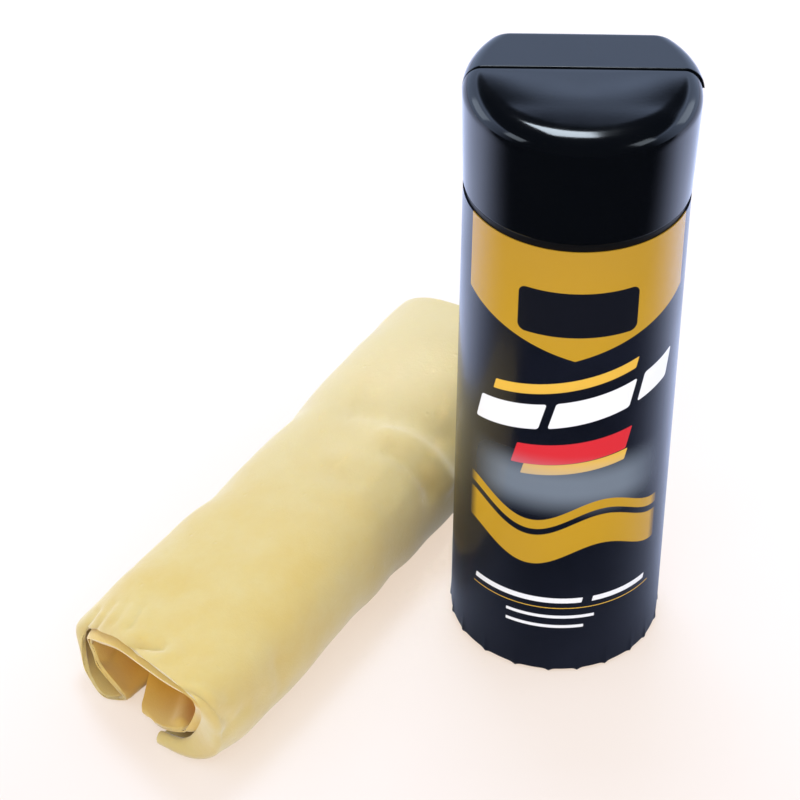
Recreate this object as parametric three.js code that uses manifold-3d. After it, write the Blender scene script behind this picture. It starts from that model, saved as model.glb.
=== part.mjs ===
// Chamois cloth with its storage tube: a moulded tube in a printed shrink sleeve, closed by a
// screw cap with a flip lid over half of its top, and the folded, loosely rolled cloth beside it.
// Millimetres, +Z up. The origin is the centre of the tube's base, on the surface that it stands on.
import * as THREE from 'three';
import { mergeVertices } from 'three/addons/utils/BufferGeometryUtils.js';
import Module from 'manifold-3d';

// Tube
const tube_radius = 39.35;
const tube_wall = 1.5;
const floor_thickness = 2.2;
const base_corner_radius = 2.4;
const base_pad_radius = 14;
const standing_ring_width = 7;
const base_recess_depth = 0.8;
const shoulder_height = 200.2;
const shoulder_fillet = 1.2;
const neck_step = 3.15;
const neck_height = 17.3;
const lip_fillet = 0.5;

// Screw thread, one start, right-handed
const thread_lead = 8;
const thread_depth = 1.5;
const thread_root_width = 3;
const thread_crest_width = 1.4;
const thread_sink = 0.6;
const neck_thread_start = 4.6;
const neck_thread_turns = 1.25;
const cap_thread_lag = 3.5;
const cap_thread_first_turn = 0.2;
const cap_thread_turns = 1.25;
const thread_run_out_turns = 0.08;
const thread_run_out_sink = 0.3;
const thread_clearance = 0.4;

// Label sleeve
const sleeve_thickness = 0.4;
const sleeve_clearance = 0.25;
const sleeve_top_gap = 2;
const pleat_count = 22;
const pleat_tip_angle = 36;
const pleat_root_angle = 14;

// Seal ring
const seal_thickness = 1.5;
const seal_outer_step = 0.6;
const seal_inner_step = 0.2;
const seat_clearance = 0.3;

// Cap
const cap_rim_wall = 2;
const cap_flare = 1.1;
const cap_head_height = 24.2;
const cap_roof_thickness = 1.9;
const cap_edge_width = 6.4;
const cap_edge_height = 7.9;
const cap_skirt_wall = 1.5;
const cap_chamber_step = 1.3;
const back_flat_offset = 25.5;
const back_flat_wall = 1.9;
const back_slope_top = 17;
const back_slope_bottom = 22.6;
const groove_flat_offset = 20;

// Flip lid and its mouth
const parting_offset = 2.8;
const parting_clearance = 0.3;
const lid_depth = 7.6;
const lid_wall = 1.8;
const lid_overhang = 0.45;
const lid_side_shift = 0.4;
const lid_back_fillet = 2;
const least_fillet = 0.2;
const mouth_front_offset = 6.5;
const mouth_back_offset = 19.5;
const mouth_radius = 31;
const plug_clearance = 0.4;
const plug_wall = 1.4;
const plug_reach = 1.5;

// Hinge at the back flat
const hinge_barrel_radius = 2.2;
const hinge_barrel_half_length = 13;
const hinge_pin_radius = 1.1;
const hinge_pin_clearance = 0.3;
const hinge_wall_gap = 0.4;
const hinge_ear_gap = 0.8;
const hinge_ear_width = 4;
const hinge_pin_length = 3.2;
const hinge_web_height = 1.9;
const hinge_web_rise = 0.1;
const hinge_foot_depth = 5.7;
const hinge_foot_drop = 0.1;
const hinge_foot_touch_angle = -24;

// Cloth: one sheet folded in half both ways, then rolled into an arch that is open underneath
const cloth_width = 430;
const cloth_stack_thickness = 5;
const roll_azimuth = 58.7;
const roll_side_gap = 10.5;
const roll_ahead_of_tube = 148;
const roll_end_slant = 0.35;
const roll_left_reach = 37.5;
const roll_right_reach = 34.5;
const roll_height = 65;

const circle_steps = 66;
const edge_steps = 6;
const fillet_steps = 3;
const hinge_steps = 16;
// How far a cutting body runs past what it cuts, and how near two corners count as one
const cut_margin = 1;
const merge_distance = 1e-4;

// Sizes that follow from the ones above
const tube_bore_radius = tube_radius - tube_wall;
const neck_radius = tube_radius - neck_step;
const neck_bore_radius = neck_radius - tube_wall;
const neck_top = shoulder_height + neck_height;
const sleeve_inner_radius = tube_radius + sleeve_clearance;
const sleeve_outer_radius = sleeve_inner_radius + sleeve_thickness;
const cap_rim = shoulder_height + seat_clearance;
const cap_bore_radius = neck_radius + thread_depth + thread_clearance;
const cap_rim_radius = cap_bore_radius + cap_rim_wall;
const cap_top_radius = cap_rim_radius + cap_flare;
const seal_bottom = neck_top + seat_clearance;
const seal_ledge = seal_bottom + seal_thickness + seat_clearance;
const cap_top = seal_ledge + cap_head_height;
const beyond_cap = cap_top_radius + cut_margin;
const cap_chamber_radius = neck_radius - cap_chamber_step;
const deck_height = cap_top - lid_depth;
const hinge_axis_offset = back_flat_offset + hinge_wall_gap + hinge_barrel_radius;
const lid_seat = deck_height + parting_clearance;

const wasm = await Module();
wasm.setup();

// Solids from closed three.js geometry, and back again

function plainMesh(geometry) {
  const bare = geometry.clone();
  bare.deleteAttribute('normal');
  bare.deleteAttribute('uv');
  return mergeVertices(bare, merge_distance);
}

function solidFrom(geometry) {
  const merged = plainMesh(geometry);
  const corners = Array.from(merged.index.array);
  const kept = [];
  for (let i = 0; i < corners.length; i += 3) {
    const [a, b, c] = corners.slice(i, i + 3);
    if (a !== b && b !== c && c !== a) kept.push(a, b, c);
  }
  return new wasm.Manifold(new wasm.Mesh({
    numProp: 3,
    vertProperties: new Float32Array(merged.attributes.position.array),
    triVerts: new Uint32Array(kept),
  }));
}

function geometryFrom(solid) {
  const mesh = solid.getMesh();
  const geometry = new THREE.BufferGeometry();
  geometry.setAttribute('position', new THREE.BufferAttribute(new Float32Array(mesh.vertProperties), 3));
  geometry.setIndex(Array.from(mesh.triVerts));
  geometry.computeVertexNormals();
  return geometry;
}

// A profile of [radius, height] points turned round the Z axis
function turned(profile) {
  const points = profile.map(([radius, height]) => new THREE.Vector2(radius, height));
  const lathe = new THREE.LatheGeometry(points, circle_steps);
  lathe.rotateX(Math.PI / 2);
  return lathe;
}

// An outline in plan, raised from one height to another
function raised(shape, low, high) {
  const block = new THREE.ExtrudeGeometry(shape, { depth: high - low, bevelEnabled: false });
  block.translate(0, 0, low);
  return block;
}

// An outline in the YZ plane, carried along X from one side to the other
function carriedAcross(outline, left, right) {
  const shape = new THREE.Shape(outline.map(([y, z]) => new THREE.Vector2(y, z)));
  const block = new THREE.ExtrudeGeometry(shape, { depth: right - left, bevelEnabled: false });
  block.applyMatrix4(new THREE.Matrix4().set(0, 0, 1, left, 1, 0, 0, 0, 0, 1, 0, 0, 0, 0, 0, 1));
  return block;
}

// A closed body through a row of loops, each with the same number of points, counter-clockwise
// seen against the way that the row runs. Without end faces the last loop joins the first.
function loft(loops, endFaces) {
  const count = loops[0].length;
  const triangles = [];
  const addWall = (from, to) => {
    for (let i = 0; i < count; i++) {
      const next = (i + 1) % count;
      triangles.push(from * count + i, from * count + next, to * count + next);
      triangles.push(from * count + i, to * count + next, to * count + i);
    }
  };
  for (let k = 0; k + 1 < loops.length; k++) addWall(k, k + 1);
  if (endFaces) {
    const last = (loops.length - 1) * count;
    for (const [a, b, c] of endFaces) {
      triangles.push(c, b, a);
      triangles.push(last + a, last + b, last + c);
    }
  } else {
    addWall(loops.length - 1, 0);
  }
  const geometry = new THREE.BufferGeometry();
  const positions = loops.flat().flatMap((point) => point.toArray());
  geometry.setAttribute('position', new THREE.Float32BufferAttribute(positions, 3));
  geometry.setIndex(triangles);
  geometry.computeVertexNormals();
  return geometry;
}

// Points of an arc, from one angle to another, as [radius, height] pairs
function arc(centre_radius, centre_height, width, height, from_degrees, to_degrees, steps = fillet_steps) {
  const points = [];
  for (let i = 0; i <= steps; i++) {
    const angle = THREE.MathUtils.degToRad(from_degrees + (to_degrees - from_degrees) * i / steps);
    points.push([centre_radius + width * Math.cos(angle), centre_height + height * Math.sin(angle)]);
  }
  return points;
}

// A helical ridge round the Z axis. It stands from root_radius to crest_radius, outwards on the
// neck and inwards in the cap, and runs out to nothing at both ends.
function threadRidge(root_radius, crest_radius, start_height, first_turn, turns) {
  const outwards = Math.sign(crest_radius - root_radius);
  const sunk_radius = root_radius - outwards * thread_sink;
  const steps = Math.round(turns * circle_steps);
  const loops = [];
  for (let i = 0; i <= steps; i++) {
    const turn = first_turn + turns * i / steps;
    const from_end = Math.min(i, steps - i) / circle_steps;
    const growth = Math.min(1, from_end / thread_run_out_turns);
    const radius = root_radius + outwards * (thread_depth * growth - thread_run_out_sink * (1 - growth));
    const middle = start_height + thread_lead * turn;
    const angle = 2 * Math.PI * turn;
    const section = [
      [sunk_radius, middle - thread_root_width / 2],
      [radius, middle - thread_crest_width / 2],
      [radius, middle + thread_crest_width / 2],
      [sunk_radius, middle + thread_root_width / 2],
    ];
    if (outwards > 0) section.reverse();
    loops.push(section.map(([r, z]) => new THREE.Vector3(r * Math.cos(angle), r * Math.sin(angle), z)));
  }
  return loft(loops, [[0, 1, 2], [0, 2, 3]]);
}

function tubeBody() {
  const standing_outer = tube_radius - base_corner_radius;
  const standing_inner = standing_outer - standing_ring_width;
  const profile = [
    [0, 0],
    [base_pad_radius, 0],
    [base_pad_radius, base_recess_depth],
    [standing_inner, base_recess_depth],
    [standing_inner, 0],
    ...arc(standing_outer, base_corner_radius, base_corner_radius, base_corner_radius, -90, 0),
    ...arc(
      tube_radius - shoulder_fillet,
      shoulder_height - shoulder_fillet,
      shoulder_fillet,
      shoulder_fillet,
      0,
      90,
    ),
    [neck_radius, shoulder_height],
    ...arc(neck_radius - lip_fillet, neck_top - lip_fillet, lip_fillet, lip_fillet, 0, 90),
    [neck_bore_radius, neck_top],
    [neck_bore_radius, shoulder_height - tube_wall],
    [tube_bore_radius, shoulder_height - tube_wall - neck_step],
    [tube_bore_radius, floor_thickness],
    [0, floor_thickness],
  ];
  const start = shoulder_height + neck_thread_start;
  const ridge = threadRidge(neck_radius, neck_radius + thread_depth, start, 0, neck_thread_turns);
  return geometryFrom(solidFrom(turned(profile)).add(solidFrom(ridge)));
}

// The film follows the tube's wall and turns round its base corner, further at each pleat's tip
function labelSleeve() {
  const top = shoulder_height - sleeve_top_gap;
  const corner_centre = tube_radius - base_corner_radius;
  const rings = [];
  const pointAt = (angle, reach, turn_in) => {
    const tuck = THREE.MathUtils.degToRad(turn_in);
    const radius = corner_centre + (base_corner_radius + reach) * Math.cos(tuck);
    const height = base_corner_radius - (base_corner_radius + reach) * Math.sin(tuck);
    return new THREE.Vector3(radius * Math.cos(angle), radius * Math.sin(angle), height);
  };
  for (let i = 0; i < circle_steps; i++) {
    const angle = 2 * Math.PI * i / circle_steps;
    const pleat = (1 + Math.cos(pleat_count * angle)) / 2;
    const tuck = pleat_root_angle + (pleat_tip_angle - pleat_root_angle) * pleat;
    const outer = sleeve_outer_radius - tube_radius;
    const loop = [
      pointAt(angle, sleeve_clearance, tuck),
      pointAt(angle, outer, tuck),
      pointAt(angle, outer, tuck / 2),
      pointAt(angle, outer, 0),
      pointAt(angle, outer, 0).setZ(top),
      pointAt(angle, sleeve_clearance, 0).setZ(top),
      pointAt(angle, sleeve_clearance, 0),
      pointAt(angle, sleeve_clearance, tuck / 2),
    ];
    rings.push(loop.reverse());
  }
  return loft(rings);
}

function sealRing() {
  const inner = neck_bore_radius + seal_inner_step;
  const outer = cap_bore_radius - seal_outer_step;
  const top = seal_bottom + seal_thickness;
  return plainMesh(turned([
    [inner, seal_bottom],
    [outer, seal_bottom],
    [outer, top],
    [inner, top],
    [inner, seal_bottom],
  ]));
}

// The part of a disc of the given radius that lies between two lines along X
function discBand(radius, front, back) {
  const shape = new THREE.Shape();
  const addArc = (from, to) => {
    const steps = Math.max(2, Math.ceil(Math.abs(to - from) / (2 * Math.PI / circle_steps)));
    for (let i = 0; i <= steps; i++) {
      const angle = from + (to - from) * i / steps;
      const point = [radius * Math.cos(angle), radius * Math.sin(angle)];
      if (shape.curves.length === 0 && shape.currentPoint.length() === 0) shape.moveTo(...point);
      else shape.lineTo(...point);
    }
  };
  const front_angle = Math.asin(front / radius);
  const back_angle = Math.asin(back / radius);
  addArc(front_angle, back_angle);
  addArc(Math.PI - back_angle, Math.PI - front_angle);
  shape.closePath();
  return shape;
}

// The cap's outer form, which the lid repeats with a small overhang
function capOuterProfile(low, overhang) {
  const rise = (low - cap_rim) / (cap_top - cap_edge_height - cap_rim);
  const edge_centre = cap_top_radius - cap_edge_width;
  return [
    [0, low],
    [cap_rim_radius + cap_flare * rise + overhang, low],
    ...arc(
      edge_centre,
      cap_top - cap_edge_height,
      cap_edge_width + overhang,
      cap_edge_height + overhang,
      0,
      90,
      edge_steps,
    ),
    [0, cap_top + overhang],
  ];
}

// A round block about the Z axis
function disc(radius, low, high) {
  return solidFrom(turned([[0, low], [radius, low], [radius, high], [0, high]]));
}

// An outline in the YZ plane carried right across the cap, for cutting it
function acrossCap(outline) {
  return solidFrom(carriedAcross(outline, -beyond_cap, beyond_cap));
}

// A block right across the cap, between two planes across Y and two heights
function slab(front, back, low, high) {
  return acrossCap([[front, low], [back, low], [back, high], [front, high]]);
}

// What is cut away behind the cap: a flat above, a slope below it
function behindBackFlat() {
  const above = cap_top + cut_margin;
  return acrossCap([
    [back_flat_offset, cap_top - back_slope_top],
    [cap_top_radius, cap_top - back_slope_bottom],
    [beyond_cap, cap_top - back_slope_bottom],
    [beyond_cap, above],
    [back_flat_offset, above],
  ]);
}

// The bore that the neck fills, and above it the chamber under the deck and under the front roof
function capHollow() {
  const under_deck = deck_height - cap_roof_thickness;
  const under_roof = cap_top - cap_roof_thickness;
  const low = seal_ledge - cut_margin;
  const rear = slab(-beyond_cap, back_flat_offset - back_flat_wall, low, under_deck);
  const front = slab(-beyond_cap, parting_offset - cap_roof_thickness, low, under_roof);
  return disc(cap_bore_radius, cap_rim - cut_margin, seal_ledge)
    .add(disc(cap_chamber_radius, low, under_roof).intersect(rear.add(front)))
    .add(capGroove(under_deck));
}

// Coring between the cap's wall and the skirt that presses on the seal
function capGroove(top) {
  const low = seal_ledge - cut_margin;
  const skirt = disc(cap_chamber_radius + cap_skirt_wall, low - cut_margin, top + cut_margin);
  return disc(cap_bore_radius, low, top)
    .subtract(skirt)
    .intersect(slab(-beyond_cap, groove_flat_offset, low, top));
}

// One ear of the hinge on the cap: an eye round the axis on a foot that stands on the back flat
function hingeEar(side) {
  const near = hinge_barrel_half_length + hinge_ear_gap;
  const left = side > 0 ? near : -near - hinge_ear_width;
  const right = left + hinge_ear_width;
  const foot_front = back_flat_offset - back_flat_wall / 2;
  const foot_top = deck_height - hinge_foot_drop;
  const touch = THREE.MathUtils.degToRad(hinge_foot_touch_angle);
  const touch_offset = hinge_axis_offset + hinge_barrel_radius * Math.cos(touch);
  const touch_height = deck_height + hinge_barrel_radius * Math.sin(touch);
  const foot = solidFrom(carriedAcross([
    [foot_front, deck_height - hinge_foot_depth],
    [touch_offset, touch_height],
    [hinge_axis_offset, foot_top],
    [foot_front, foot_top],
  ], left, right));
  const eye = solidFrom(barAlongX(hinge_barrel_radius, left, right));
  const hole_radius = hinge_pin_radius + hinge_pin_clearance;
  const hole = solidFrom(barAlongX(hole_radius, left - cut_margin, right + cut_margin));
  return foot.add(eye).subtract(hole);
}

function barAlongX(radius, left, right) {
  const bar = new THREE.CylinderGeometry(radius, radius, right - left, hinge_steps);
  bar.rotateZ(Math.PI / 2);
  bar.translate((left + right) / 2, hinge_axis_offset, deck_height);
  return bar;
}

function screwCap() {
  const lid_pocket = slab(parting_offset, beyond_cap, deck_height, cap_top + cut_margin);
  const mouth_outline = discBand(mouth_radius, mouth_front_offset, mouth_back_offset);
  const mouth_low = deck_height - cap_roof_thickness - cut_margin;
  const mouth = solidFrom(raised(mouth_outline, mouth_low, deck_height + cut_margin));
  const ridge = threadRidge(
    cap_bore_radius,
    cap_bore_radius - thread_depth,
    shoulder_height + neck_thread_start - cap_thread_lag,
    cap_thread_first_turn,
    cap_thread_turns,
  );
  return geometryFrom(solidFrom(turned(capOuterProfile(cap_rim, 0)))
    .subtract(behindBackFlat())
    .subtract(capHollow())
    .subtract(lid_pocket)
    .subtract(mouth)
    .add(solidFrom(ridge))
    .add(hingeEar(-1))
    .add(hingeEar(1)));
}

// The slab that bounds the lid between the parting line and the back flat, with a rounded back edge
function lidSlab(inset, top) {
  const front = parting_offset + parting_clearance + inset;
  const back = back_flat_offset - inset;
  const fillet = Math.max(lid_back_fillet - inset, least_fillet);
  const low = lid_seat - (inset > 0 ? cut_margin : 0);
  return acrossCap([
    [front, low],
    [back, low],
    ...arc(back - fillet, top - fillet, fillet, fillet, 0, 90),
    [front, top],
  ]);
}

function flipLid() {
  const top = cap_top + lid_overhang;
  const low = lid_seat - cut_margin;
  const outside = solidFrom(turned(capOuterProfile(low, lid_overhang))).intersect(lidSlab(0, top));
  const inside = solidFrom(turned(capOuterProfile(low, lid_overhang - lid_wall)))
    .intersect(lidSlab(lid_wall, top - lid_wall));
  const plug_foot = deck_height - plug_reach;
  const plug_roof = top - lid_wall / 2;
  const gap = plug_clearance;
  const plug = raised(
    discBand(mouth_radius - gap, mouth_front_offset + gap, mouth_back_offset - gap),
    plug_foot,
    plug_roof,
  );
  const rim = gap + plug_wall;
  const plug_hollow = raised(
    discBand(mouth_radius - rim, mouth_front_offset + rim, mouth_back_offset - rim),
    plug_foot - cut_margin,
    top - lid_wall,
  );
  const lid = outside
    .subtract(inside)
    .add(solidFrom(plug))
    .subtract(solidFrom(plug_hollow))
    .add(lidHinge());
  return geometryFrom(lid).translate(lid_side_shift, 0, 0);
}

// The lid's barrel, a stub pin at each end of it and the web that joins it to the back wall
function lidHinge() {
  const half = hinge_barrel_half_length;
  const pin_end = half + hinge_pin_length;
  const web_low = lid_seat + hinge_web_rise;
  const web = solidFrom(carriedAcross([
    [back_flat_offset - lid_wall / 2, web_low],
    [hinge_axis_offset, web_low],
    [hinge_axis_offset, web_low + hinge_web_height],
    [back_flat_offset - lid_wall / 2, web_low + hinge_web_height],
  ], -half, half));
  return solidFrom(barAlongX(hinge_barrel_radius, -half, half))
    .add(solidFrom(barAlongX(hinge_pin_radius, -pin_end, pin_end)))
    .add(web);
}

// The middle of the stack of plies, from the foot of the left wall over the arch to the flap that
// is turned in underneath: across as a share of the reach to that side, up as a share of the height
const roll_section = [
  [-0.7, 0],
  [-0.9, 0.23],
  [-0.98, 0.54],
  [-0.81, 0.87],
  [-0.4, 1],
  [0.2, 1],
  [0.78, 0.92],
  [1, 0.67],
  [0.95, 0.28],
  [0.59, 0.03],
  [0, 0],
];
// How the arch changes along the roll, from the flattened near end to the nearly round far end:
// shares of the reach to the left and right, and of the height
const roll_stations = [
  { along: 0, left: 1.25, right: 0.67, height: 0.68 },
  { along: 0.1, left: 1.23, right: 0.9, height: 0.71 },
  { along: 0.25, left: 1.15, right: 1, height: 0.75 },
  { along: 0.4, left: 1.03, right: 1, height: 0.8 },
  { along: 0.6, left: 1, right: 1, height: 0.86 },
  { along: 0.8, left: 0.99, right: 0.99, height: 0.94 },
  { along: 0.93, left: 0.95, right: 0.93, height: 1 },
  { along: 1, left: 0.85, right: 0.81, height: 0.95 },
];

function sectionLoop(station) {
  const half = cloth_stack_thickness / 2;
  const left_reach = roll_left_reach * station.left - half;
  const right_reach = roll_right_reach * station.right - half;
  const rise = roll_height * station.height - cloth_stack_thickness;
  const middle = roll_section.map(([across, up]) => (
    new THREE.Vector3(across * (across < 0 ? left_reach : right_reach), half + up * rise, 0)
  ));
  const curve = new THREE.CatmullRomCurve3(middle, false, 'centripetal');
  const steps = 2 * (middle.length - 1);
  const outer = [];
  const inner = [];
  for (let i = 0; i <= steps; i++) {
    const point = curve.getPoint(i / steps);
    const tangent = curve.getTangent(i / steps);
    const outwards = new THREE.Vector3(-tangent.y, tangent.x, 0).multiplyScalar(half);
    outer.push(point.clone().add(outwards));
    inner.push(point.clone().sub(outwards));
  }
  return [...outer, ...inner.reverse()].map((point) => new THREE.Vector2(point.x, Math.max(0, point.y)));
}

function clothRoll() {
  const azimuth = THREE.MathUtils.degToRad(roll_azimuth);
  const along_axis = new THREE.Vector3(Math.cos(azimuth), Math.sin(azimuth), 0);
  const across_axis = new THREE.Vector3(Math.sin(azimuth), -Math.cos(azimuth), 0);
  const from_tube = sleeve_outer_radius + roll_side_gap + roll_right_reach;
  const near_end = across_axis.clone().multiplyScalar(-from_tube)
    .addScaledVector(along_axis, -roll_ahead_of_tube);
  const roll_length = cloth_width / 2;
  const contours = roll_stations.map(sectionLoop);
  const loops = contours.map((contour, k) => contour.map((point) => {
    const fade = 1 - roll_stations[k].along;
    const distance = roll_length * roll_stations[k].along - roll_end_slant * fade * point.x;
    return near_end.clone()
      .addScaledVector(along_axis, distance)
      .addScaledVector(across_axis, point.x)
      .setZ(point.y);
  }));
  const seen_back_along_roll = contours[0].map((point) => new THREE.Vector2(-point.x, point.y));
  return loft(loops, THREE.ShapeUtils.triangulateShape(seen_back_along_roll, []));
}

const moulded_black = { color: 0x0c0d12, roughness: 0.35, metalness: 0 };
const printed_film = { color: 0x141a2c, roughness: 0.25, metalness: 0 };
const grey_rubber = { color: 0x2a2a2c, roughness: 0.8, metalness: 0 };
const glossy_black = { color: 0x08090c, roughness: 0.18, metalness: 0 };
const pale_chamois = { color: 0xe9d79c, roughness: 0.9, metalness: 0 };

const set = new THREE.Group();

function addPiece(name, geometry, finish) {
  const mesh = new THREE.Mesh(geometry, new THREE.MeshStandardMaterial(finish));
  mesh.name = name;
  set.add(mesh);
}

addPiece('tube_body', tubeBody(), moulded_black);
addPiece('label_sleeve', labelSleeve(), printed_film);
addPiece('seal_ring', sealRing(), grey_rubber);
addPiece('screw_cap', screwCap(), glossy_black);
addPiece('flip_lid', flipLid(), glossy_black);
addPiece('chamois_cloth', clothRoll(), pale_chamois);

export default set;
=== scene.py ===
"""A folded, loosely rolled chamois cloth beside its storage tube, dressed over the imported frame.

Shapes are worked out in millimetres, in the frame of the part: +Z up, -Y towards the viewer, and
the origin at the centre of the tube's base. A Skin turns them into metres as it makes its mesh.
"""

import math

import bmesh
import bpy
import numpy as np
from bpy.props import FloatProperty, FloatVectorProperty, IntProperty, PointerProperty
from mathutils import Matrix, Vector


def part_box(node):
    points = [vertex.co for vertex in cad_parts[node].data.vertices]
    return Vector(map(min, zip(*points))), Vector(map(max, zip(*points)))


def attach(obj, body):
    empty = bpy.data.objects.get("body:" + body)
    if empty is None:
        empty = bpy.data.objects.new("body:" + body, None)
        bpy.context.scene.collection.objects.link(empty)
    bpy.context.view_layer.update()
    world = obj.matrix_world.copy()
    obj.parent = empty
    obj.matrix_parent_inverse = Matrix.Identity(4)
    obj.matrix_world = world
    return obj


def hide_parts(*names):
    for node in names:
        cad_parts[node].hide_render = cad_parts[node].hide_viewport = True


bl_info = {
    "name": "Chamois cloth and storage tube",
    "version": (1, 0, 0),
    "blender": (4, 5, 0),
    "location": "3D View > Sidebar > Chamois",
    "description": "Makes a rolled chamois cloth, its storage tube, screw cap and flip lid",
    "category": "Add Mesh",
}

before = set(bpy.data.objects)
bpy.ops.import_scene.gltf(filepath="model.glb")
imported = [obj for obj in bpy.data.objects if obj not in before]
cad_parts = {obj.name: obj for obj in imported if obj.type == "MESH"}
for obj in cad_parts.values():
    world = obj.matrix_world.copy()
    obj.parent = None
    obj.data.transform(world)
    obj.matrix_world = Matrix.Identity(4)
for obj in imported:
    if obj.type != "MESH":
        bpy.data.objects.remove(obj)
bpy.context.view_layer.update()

MM = 0.001
WELD_DISTANCE = 1e-6


# Settings

def length(name, description, millimetres):
    """A length that the user sets, given here in millimetres."""
    return FloatProperty(
        name=name, description=description, default=millimetres * MM, unit="LENGTH", precision=5,
    )


def colour(name, description, red, green, blue):
    """A colour that the user sets, as linear red, green and blue."""
    return FloatVectorProperty(
        name=name, description=description, default=(red, green, blue, 1), size=4,
        subtype="COLOR", min=0, max=1,
    )


class TubeSettings(bpy.types.PropertyGroup):
    """Sizes and colours of the tube, its sleeve and its seal"""

    radius: length("Radius", "Outside of the tube's wall", 39.35)
    wall: length("Wall", "Thickness of the tube's wall", 1.5)
    shoulder: length("Shoulder height", "Where the wall steps in to the neck", 200.2)
    neck_radius: length("Neck radius", "Outside of the threaded neck", 36.2)
    neck_height: length("Neck height", "From the shoulder to the lip", 17.3)
    film: length("Film", "Thickness of the printed film", 0.4)
    film_gap: length("Film gap", "Between the tube's wall and the film", 0.25)
    pleats: IntProperty(
        name="Pleats", description="Gathers round the film's lower edge", default=22, min=3,
    )
    plastic: colour("Plastic", "Moulded black of the tube", 0.004, 0.004, 0.005)
    ground: colour("Ground", "Dark ground of the print", 0.0035, 0.0048, 0.010)
    yellow: colour("Yellow", "Yellow field of the print", 0.48, 0.27, 0.013)
    gold: colour("Gold", "Gold bars and lines of the print", 0.72, 0.42, 0.05)
    red: colour("Red", "Red block of the print", 0.62, 0.02, 0.03)
    pale: colour("Pale", "White bars of the print", 0.8, 0.8, 0.82)
    plate: colour("Plate", "Dark plate on the yellow field", 0.006, 0.007, 0.012)
    rubber: colour("Rubber", "Grey of the seal ring", 0.045, 0.045, 0.048)


class CapSettings(bpy.types.PropertyGroup):
    """Sizes and colours of the screw cap and its flip lid"""

    rim_height: length("Rim height", "Lower edge of the cap", 200.5)
    rim_radius: length("Rim radius", "Outside of the cap at its lower edge", 40.1)
    top_radius: length("Top radius", "Outside of the cap at its shoulder", 41.2)
    top_height: length("Top height", "Middle of the cap's top", 243.8)
    edge_height: length("Edge height", "From the shoulder to the top", 7.9)
    lid_depth: length("Lid depth", "From the top to the deck under the lid", 7.6)
    bore: length("Bore", "Radius inside the cap", 38.1)
    chamber: length("Chamber", "Radius of the chamber under the top", 34.9)
    ledge: length("Ledge height", "Where the skirt presses on the seal", 219.6)
    roof: length("Roof", "Thickness of the cap's top", 1.9)
    back_flat: length("Back flat", "From the axis to the flat at the back", 25.5)
    parting: length("Parting line", "From the axis to the lid's front edge", 2.8)
    lid_gap: length("Lid gap", "Between the lid and the cap", 0.3)
    plastic: colour("Plastic", "Glossy black of the cap and lid", 0.0015, 0.002, 0.003)


class ClothSettings(bpy.types.PropertyGroup):
    """Sizes and colours of the cloth"""

    flat_width: length("Flat width", "The sheet across, along the roll twice", 430)
    flat_length: length("Flat length", "The sheet along, round the roll twice", 660)
    ply: length("Ply", "Thickness of the sheet", 0.46)
    pitch: length("Pitch", "From one ply to the next in the fold", 0.62)
    crumple: FloatProperty(
        name="Crumple", description="Strength of the creases", default=1.0, min=0, max=2,
    )
    chamois: colour("Chamois", "Pale yellow of the cloth", 0.56, 0.435, 0.185)
    mottled: colour("Mottled", "Darker patches of the cloth", 0.54, 0.385, 0.125)
    # Painted light: this paler yellow towards the fold stands in for the back light that falls
    # there.
    painted_lit_pale: colour("Dry", "Paler yellow of the cloth towards its fold", 0.58, 0.48, 0.285)
    # Painted shade: this deeper yellow inside the roll stands in for the shade and the light
    # bounced between the plies there.
    painted_inner_shade: colour("Deep", "Damp yellow inside the roll", 0.67, 0.365, 0.015)
    # Painted glow: the cloth gives off this light inside the roll, though no lamp is there.
    glow: colour("Glow", "Light that soaks through to the inside", 0.07, 0.03, 0.0)


class StageSettings(bpy.types.PropertyGroup):
    """Floor, surroundings and lamps"""

    floor: colour("Floor", "Colour of the floor", 0.82, 0.775, 0.785)
    seen: colour("Seen floor", "Colour of the floor as the camera sees it", 0.25, 0.30, 0.37)
    lift: colour("Lift", "Light that comes up through the floor", 0.70, 0.555, 0.43)
    fill: FloatProperty(
        name="Fill", description="Power of each fill lamp", default=6.0, unit="POWER",
    )
    surroundings: FloatProperty(
        name="Surroundings", description="Strength of the pale surroundings", default=0.95, min=0,
    )
    overhead: FloatProperty(
        name="Overhead", description="Power of the overhead lamp", default=24.0, unit="POWER",
    )
    side: FloatProperty(
        name="Side lamps", description="Power of each small side lamp", default=3.0, unit="POWER",
    )


# Grids of points and meshes

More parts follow.
